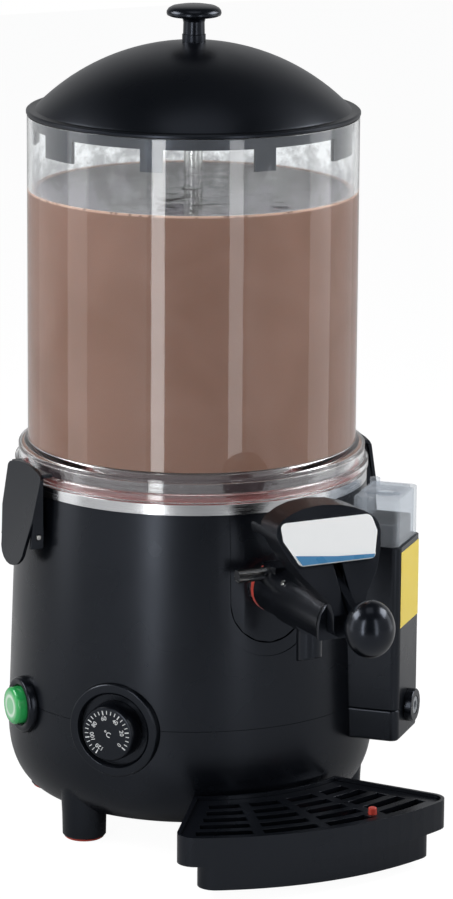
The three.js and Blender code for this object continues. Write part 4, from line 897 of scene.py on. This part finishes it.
LID_LOW = 0.502
RIM_RADIUS = 0.1165
RIM_HEIGHT = 0.0032
DOME_RADIUS = 0.109
DOME_RISE = 0.0453
LID_WALL = 0.0025

# The lugs under the lid, in degrees: every third one is wide
LUG_COUNT = 9
LUG_PITCH = 40
WIDE_LUG = 16
NARROW_LUG = 8
LUG_TURN = -80.5
LUG_DROP = 0.0235

BOSS_RADIUS = 0.0082
SCREW_RADIUS = 0.0033


def half_lug(i):
    return (WIDE_LUG if i % 3 == 0 else NARROW_LUG) / 2


def domed_lid():
    base = LID_LOW + RIM_HEIGHT + 0.0015
    top = base + DOME_RISE
    sphere = (DOME_RADIUS ** 2 + DOME_RISE ** 2) / (2 * DOME_RISE)
    centre = top - sphere
    skirt = BOWL_RADIUS - BOWL_WALL - 0.0005
    lug_low = LID_LOW - LUG_DROP

    def dome(inset, outer, steps=24):
        radii = [outer * i / steps for i in range(steps + 1)]
        return [(r, centre + math.sqrt((sphere - inset) ** 2 - r ** 2)) for r in radii]

    rim_top = LID_LOW + RIM_HEIGHT
    lid = turned("domed_lid", [
        *dome(0, DOME_RADIUS),
        (DOME_RADIUS + 0.0012, rim_top),
        (RIM_RADIUS - 0.0040, rim_top - 0.0003),
        (RIM_RADIUS - 0.0028, rim_top),
        (RIM_RADIUS - 0.0010, rim_top - 0.0002),
        (RIM_RADIUS, rim_top - 0.0011),
        (RIM_RADIUS, LID_LOW + 0.0006),
        (RIM_RADIUS - 0.0006, LID_LOW),
        (skirt, LID_LOW),
        (skirt, lug_low),
        (skirt - LID_WALL, lug_low),
        (skirt - LID_WALL, LID_LOW + 0.0016),
        *reversed(dome(LID_WALL, DOME_RADIUS - 0.00125)),
    ])
    notches = []
    for i in range(LUG_COUNT):
        start = LUG_PITCH * i + half_lug(i)
        end = LUG_PITCH * (i + 1) - half_lug(i + 1)
        half = (end - start) / 2
        ring = [
            *arc((0, 0), skirt + 0.003, -90 - half, -90 + half, 6),
            *arc((0, 0), skirt - 0.006, -90 + half, -90 - half, 6),
        ]
        notch = slab("notch", ring, lug_low - 0.004, LID_LOW - 0.008)
        notches.append(about_axis(notch, LUG_TURN + (start + end) / 2))
    boss = turned("boss", [
        (0, top - 0.002), (BOSS_RADIUS, top - 0.002), (BOSS_RADIUS, top + 0.005),
        (0, top + 0.005),
    ], SMALL_ROUND)
    bore = turned("bore", [
        (0, top - 0.01), (SCREW_RADIUS, top - 0.01), (SCREW_RADIUS, top + 0.01),
        (0, top + 0.01),
    ], SMALL_ROUND)
    lid = cut(lid, *notches)
    lid = cut(fuse(lid, boss), bore)
    eased(lid, EASED, angle=FIRM_CREASE)
    return placed(smooth(lid), "lid", lid_pp, ["lid"])


def mushroom_knob():
    low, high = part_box("lid_knob")
    cap = high.z - 0.0085
    knob = turned("mushroom_knob", [
        (0, low.z + 0.015), (SCREW_RADIUS, low.z + 0.015), (SCREW_RADIUS, low.z),
        (0.0076, low.z), (0.0074, cap - 0.004), (0.0082, cap - 0.0012), (0.0105, cap),
        (0.0168, cap + 0.0002), (0.0186, cap + 0.0010), (0.0191, cap + 0.0024),
        (0.0189, cap + 0.0040), (0.0176, cap + 0.0058), (0.0150, cap + 0.0072),
        (0.0100, cap + 0.0081), (0.0045, high.z), (0, high.z),
    ], SMALL_ROUND)
    return placed(smooth(knob, 50), "lid", tap_nylon, ["lid_knob"])


def mixer_tube():
    low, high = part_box("mixer_tube")
    tube = turned("mixer_sleeve", [
        (0, high.z - 0.004), (0.00525, high.z - 0.004), (0.00525, low.z), (0.0066, low.z),
        (0.0066, high.z - 0.001), (0.0058, high.z), (0, high.z),
    ], 48)
    return placed(smooth(tube), "mixer", pin_steel, ["mixer_tube"])


steel_pan()
clear_bowl()
bowl_gasket()
drink()
domed_lid()
mushroom_knob()
mixer_tube()
recast("knob_screw", pin_steel)
recast("mixer_paddle", paddle_pp)


# Latches

for side in ("left", "right"):
    recast("latch_" + side, housing_abs, 0.0008, 3)
    recast("latch_bracket_" + side, housing_abs)
    recast("latch_pin_" + side, pin_steel)


# Dial and switch

def control_piece(name, profile, body, material, stands_for, angle):
    """A turned piece of a control, built upwards, with its height as its reach to the front."""
    piece = eased(turned(name, profile, TRIM_ROUND), 0.0004)
    facing_front(piece, CONTROL_HEIGHT)
    return placed(smooth(piece), body, material, stands_for, angle)


def dial_well():
    control_piece("dial_well", [
        (0.0035, 0.120), (0.033, 0.120), (0.033, 0.1308), (0.0322, 0.1316), (0.0271, 0.1316),
        (0.0255, 0.1300), (0.0255, 0.1262), (0.0035, 0.1262),
    ], "machine", housing_abs, ["dial_bezel"], DIAL_ANGLE)


def print_text(name, text, size, x, height, reach, angle, body, lean):
    """A printed word or number on a face that looks outwards."""
    bpy.ops.object.select_all(action="DESELECT")
    bpy.ops.object.text_add()
    word = bpy.context.object
    word.name = name
    word.data.body = text
    word.data.size = size
    word.data.extrude = PRINT_THICKNESS / 2
    word.data.offset = size * 0.012
    word.data.align_x = "CENTER"
    word.data.align_y = "CENTER"
    word.data.resolution_u = 4
    only(word)
    bpy.ops.object.convert(target="MESH")
    piece = tidy_mesh(bpy.context.object)
    about_axis(piece, lean)
    moved(piece, turn=(90, 0, 0), to=(x, -reach, height))
    return placed(piece, body, white_print, turn=angle)


# The dial's scale, in degrees anticlockwise from the right: a figure at every fourth tick
SCALE_START = -35
SCALE_STEP = 45.8
FIGURES = 7
TICKS_PER_FIGURE = 4
FIGURE_VALUE = 20
FIGURE_RADIUS = 0.0112
FIGURE_SIZE = 0.0042
UNIT_SIZE = 0.0052
UNIT_LEAN = -20
TICK_OUTER = 0.0168
LONG_TICK = (0.0137, 0.00042)
SHORT_TICK = (0.0142, 0.00028)
DIAL_FACE = 0.1410


def dial_knob():
    control_piece("dial_knob", [
        (0, 0.1373), (0.0033, 0.1373), (0.0033, 0.1267), (0.0203, 0.1267), (0.0202, 0.1290),
        (0.0195, 0.1388), (0.0184, 0.1405), (0.0172, 0.1410), (0, 0.1410),
    ], "dial", housing_abs, ["thermostat_dial"], DIAL_ANGLE)
    ticks = []
    for i in range((FIGURES - 1) * TICKS_PER_FIGURE + 1):
        angle = math.radians(SCALE_START + SCALE_STEP * i / TICKS_PER_FIGURE)
        inner, half = SHORT_TICK if i % TICKS_PER_FIGURE else LONG_TICK
        along = (math.cos(angle), math.sin(angle))
        aside = (-along[1] * half, along[0] * half)
        corners = [
            (radius * along[0] + side * aside[0], radius * along[1] + side * aside[1])
            for radius, side in ((inner, -1), (TICK_OUTER, -1), (TICK_OUTER, 1), (inner, 1))
        ]
        ticks.append(slab("tick", corners, DIAL_FACE, DIAL_FACE + PRINT_THICKNESS))
    scale = ticks[0]
    only(scale)
    for tick in ticks:
        tick.select_set(True)
    bpy.ops.object.join()
    scale.name = scale.data.name = "dial_scale"
    facing_front(scale, CONTROL_HEIGHT)
    placed(scale, "dial", white_print, turn=DIAL_ANGLE)
    reach = DIAL_FACE + PRINT_THICKNESS / 2
    for i in range(FIGURES):
        angle = math.radians(SCALE_START + SCALE_STEP * i)
        x = FIGURE_RADIUS * math.cos(angle)
        height = CONTROL_HEIGHT + FIGURE_RADIUS * math.sin(angle)
        print_text(
            "dial_figure_" + str(i), str(i * FIGURE_VALUE), FIGURE_SIZE, x, height, reach,
            DIAL_ANGLE, "dial", math.degrees(angle) - 90)
    print_text(
        "dial_unit", "\u00b0C", UNIT_SIZE, 0, CONTROL_HEIGHT, reach,
        DIAL_ANGLE, "dial", UNIT_LEAN)


def switch_bezel():
    control_piece("switch_bezel", [
        (0.0136, 0.118), (0.016, 0.118), (0.016, 0.1285), (0.020, 0.1285), (0.020, 0.1325),
        (0.0188, 0.1345), (0.0170, 0.1350), (0.0150, 0.1345), (0.0136, 0.1330),
    ], "machine", tap_nylon, ["switch_ring"], SWITCH_ANGLE)


def green_button():
    piece = turned("green_button", [
        (0, 0.124), (LENS_RADIUS, 0.124), (LENS_RADIUS, 0.1385), (0.0131, 0.1395),
        (0.0123, 0.1404), (0.0110, 0.1409), (0.0095, 0.1410), (0, 0.1410),
    ], TRIM_ROUND)
    facing_front(piece, CONTROL_HEIGHT)
    placed(
        smooth(piece, 50), "power_button", green_lens, ["switch_button"],
        SWITCH_ANGLE)


dial_well()
dial_knob()
switch_bezel()
green_button()


# Side water box

recast("side_tank", tap_nylon, 0.0004)
recast("side_cover", cover_clear, 0.0005)
recast("filler_cap", cover_clear, 0.0004)
recast("drain_fitting", tap_nylon, 0.0005, angle=50)
recast("drain_plug", trim_abs, 0.0004, angle=50)
recast("link_pipe", zinc_steel, 0)


# Tap

recast("tap_seal", red_silicone, 0.0004, angle=50)
recast("tap_body", tap_nylon, 0.0005, angle=40)
recast("tap_end_cap", tap_nylon, 0.0005, angle=50)
recast("lock_pin", pin_steel, 0)
recast("tap_plunger", paddle_pp, 0.0003, angle=50)
recast("lever_pin", pin_steel, 0.0003, angle=50)
recast("tap_lever", tap_nylon, 0.0006, 3, angle=40)
recast("tap_hood", tap_nylon, 0.0008, 3, angle=30)
recast("badge_panel", white_panel, 0.0003)
recast("outlet_collar", housing_abs, 0.0005, angle=50)


# The small screw: its place, up and to the left on the barrel
SCREW_LEAN = 45
SCREW_REACH = 0.170
SCREW_OFFSET = 0.0134


def barrel_screw():
    """A small socket screw high on the barrel's left side."""
    screw = turned("barrel_screw", [
        (0, 0.0002), (0.0009, 0.0002), (0.0011, 0.0012), (0.0017, 0.0012), (0.0021, 0.0007),
        (0.0021, -0.001), (0, -0.001),
    ], TINY_ROUND)
    moved(screw, turn=(0, -SCREW_LEAN, 0), to=(
        -SCREW_OFFSET, -SCREW_REACH, OUTLET_HEIGHT + SCREW_OFFSET))
    placed(smooth(screw), "machine", pin_steel)


def badge_stripe():
    """A blue stripe along the lower edge of the badge panel."""
    low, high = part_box("badge_panel")
    tilt = math.atan2(high.y - low.y - 0.0007, high.z - low.z - 0.001)
    proud = 0.0011
    stripe = slab("badge_stripe", [
        (-0.0268, -0.0156), (0.0268, -0.0156), (0.0282, -0.0132), (0.0200, -0.0128),
        (0, -0.0118), (-0.0300, -0.0084),
    ], 0, PRINT_THICKNESS)
    centre_y = (low.y + high.y) / 2 - AXIS_Y - proud * math.cos(tilt)
    centre_z = (low.z + high.z) / 2 + proud * math.sin(tilt)
    moved(stripe, turn=(90 - math.degrees(tilt), 0, 0), to=(0, centre_y, centre_z))
    placed(stripe, "machine", blue_print)


def box_film():
    """A bare yellow film on the outer face of the side box."""
    reach = (SIDE_BOX_REACH, SIDE_BOX_REACH + PRINT_THICKNESS)
    film = box("box_film", (-0.0215, 0.0215), reach, (0.151, 0.2055))
    placed(film, "machine", yellow_film, turn=BOX_ANGLE)


def ball_knob():
    """The egg-shaped knob on the lever."""
    low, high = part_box("lever_knob")
    centre = (low + high) / 2
    ball = fresh(
        bpy.ops.mesh.primitive_uv_sphere_add, "egg_knob", segments=64, ring_count=32, radius=1)
    ball.scale = ((high.x - low.x) / 2, (high.y - low.y) / 2, (high.z - low.z) / 2)
    ball.location = (centre.x, centre.y - AXIS_Y, centre.z)
    bpy.ops.object.transform_apply(location=True, rotation=True, scale=True)
    return placed(smooth(ball, 80), "tap_handle", tap_nylon, ["lever_knob"])


barrel_screw()
badge_stripe()
box_film()
ball_knob()


# Tray

recast("drip_tray", housing_abs, 0.0008, 3, angle=40)
recast("drip_grille", housing_abs, 0.0005, 2, angle=40)
recast("float_button", red_silicone, 0.0004, angle=50)


# Inner works, which keep their CAD shapes

for name, material in {
    "water_jacket": stainless, "heater": zinc_steel, "drive_shaft": pin_steel,
    "gear_motor": zinc_steel, "motor_cradle": zinc_steel, "dial_spindle": pin_steel,
    "thermostat_body": zinc_steel, "switch_body": trim_abs, "cord_gland": housing_abs,
}.items():
    dressed(frame["nodes"][name], material)


# Floor, backdrop light and lamps

# The way that the photograph looks, level, and how much of the white behind shows in gloss
BACKDROP = (0.438, 0.899, 0)
MIRRORED_SHARE = 0.4


def seen_white(material, place, low, high):
    """How white the surroundings look: fully to the eye and through clear plastic, and in gloss
    only where they lie behind the machine, because the room in front of the table is dark."""
    along = add(material, "ShaderNodeVectorMath", {
        0: place, 1: BACKDROP}, operation="DOT_PRODUCT")
    behind = add(material, "ShaderNodeMapRange", {
        "Value": along.outputs["Value"],
        "From Min": low,
        "From Max": high,
        "To Max": MIRRORED_SHARE,
    })
    path = add(material, "ShaderNodeLightPath")
    mirrored = add(material, "ShaderNodeMath", {
        0: path.outputs["Is Glossy Ray"], 1: behind.outputs["Result"]}, operation="MULTIPLY")
    direct = add(material, "ShaderNodeMath", {
        0: path.outputs["Is Camera Ray"], 1: path.outputs["Is Transmission Ray"],
    }, operation="MAXIMUM")
    either = add(material, "ShaderNodeMath", {
        0: direct.outputs[0], 1: mirrored.outputs[0]}, operation="MAXIMUM")
    return either.outputs[0]


def white_paper(material, place):
    """Dull white paper, which the camera sees glowing so that it runs into the white room."""
    lit = add(material, "ShaderNodeBsdfDiffuse", {"Color": linear("#c6c6c6")})
    glow = add(material, "ShaderNodeEmission", {"Strength": 1.2})
    shade = add(material, "ShaderNodeMixShader", {0: 0.8, 1: lit.outputs[0], 2: glow.outputs[0]})
    return add(material, "ShaderNodeMixShader", {
        0: seen_white(material, place, 0.2, 0.7), 1: lit.outputs[0], 2: shade.outputs[0]})


def studio():
    """A floor of white paper and a pale room: both look white, but light the machine little."""
    floor = fresh(bpy.ops.mesh.primitive_plane_add, "floor", size=8, location=(0, 0, 0))
    bpy.ops.object.mode_set(mode="EDIT")
    bpy.ops.mesh.subdivide(number_cuts=1)
    bpy.ops.object.mode_set(mode="OBJECT")
    dressed(floor, made_of(white_paper, "white_paper"))

    world = bpy.data.worlds.new("studio")
    bpy.context.scene.world = world
    world.use_nodes = True
    world.node_tree.nodes.clear()
    heading = add(world, "ShaderNodeTexCoord").outputs["Generated"]
    soft = add(world, "ShaderNodeBackground", {"Color": linear("#dfe8f6"), "Strength": 0.09})
    white = add(world, "ShaderNodeBackground", {"Color": linear("#ffffff")})
    mix = add(world, "ShaderNodeMixShader", {
        0: seen_white(world, heading, 0.6, 0.9), 1: soft.outputs[0], 2: white.outputs[0]})
    add(world, "ShaderNodeOutputWorld", {"Surface": mix.outputs[0]})


def lamp(name, place, aim, size, power):
    """A soft box at a place, aimed at a point."""
    bpy.ops.object.light_add(type="AREA", location=place)
    light = bpy.context.object
    light.name = name
    light.data.shape = "RECTANGLE"
    light.data.size, light.data.size_y = size
    light.data.energy = power
    light.rotation_mode = "QUATERNION"
    light.rotation_quaternion = (Vector(aim) - Vector(place)).to_track_quat("-Z", "Y")
    return light


def lamp_at(name, azimuth, distance, height, size, power):
    """A soft box that faces the axis, at an angle in degrees from the front to the right."""
    turn = math.radians(azimuth)
    place = (distance * math.sin(turn), AXIS_Y - distance * math.cos(turn), height)
    return lamp(name, place, (0, AXIS_Y, height), size, power)


studio()

# Upright panels on the floor, whose mirror images are the light bands on the bowl and the housing:
# angle, width and power
PANEL_DISTANCE = 1.1
PANEL_MIDDLE = 0.42
PANEL_TALL = 0.84
for name, azimuth, width, power in [
    ("left_back", -136.5, 0.736, 0.4),
    ("left_bright", -109, 0.35, 1.3),
    ("left_panel", -78, 0.88, 1.1),
    ("left_strip", -48.5, 0.17, 3.0),
    ("front_strip", 2.5, 0.18, 1.4),
    ("right_panel", 34, 0.98, 0.85),
    ("right_bright", 69, 0.42, 1.5),
    ("right_back", 97.5, 0.69, 0.35),
]:
    lamp_at(name, azimuth, PANEL_DISTANCE, PANEL_MIDDLE, (width, PANEL_TALL), power)

# Larger boxes higher up, which light the drink, the tap and the tray
lamp_at("left_bank", -115, 1.3, 1.25, (1.0, 0.8), 20)
lamp_at("right_bank", 70, 1.3, 1.25, (1.0, 0.8), 19)
lamp("top", (-0.2, -0.4, 2.2), (0, AXIS_Y, 0.3), (1.0, 1.0), 2)

bpy.context.scene.view_settings.view_transform = "Standard"
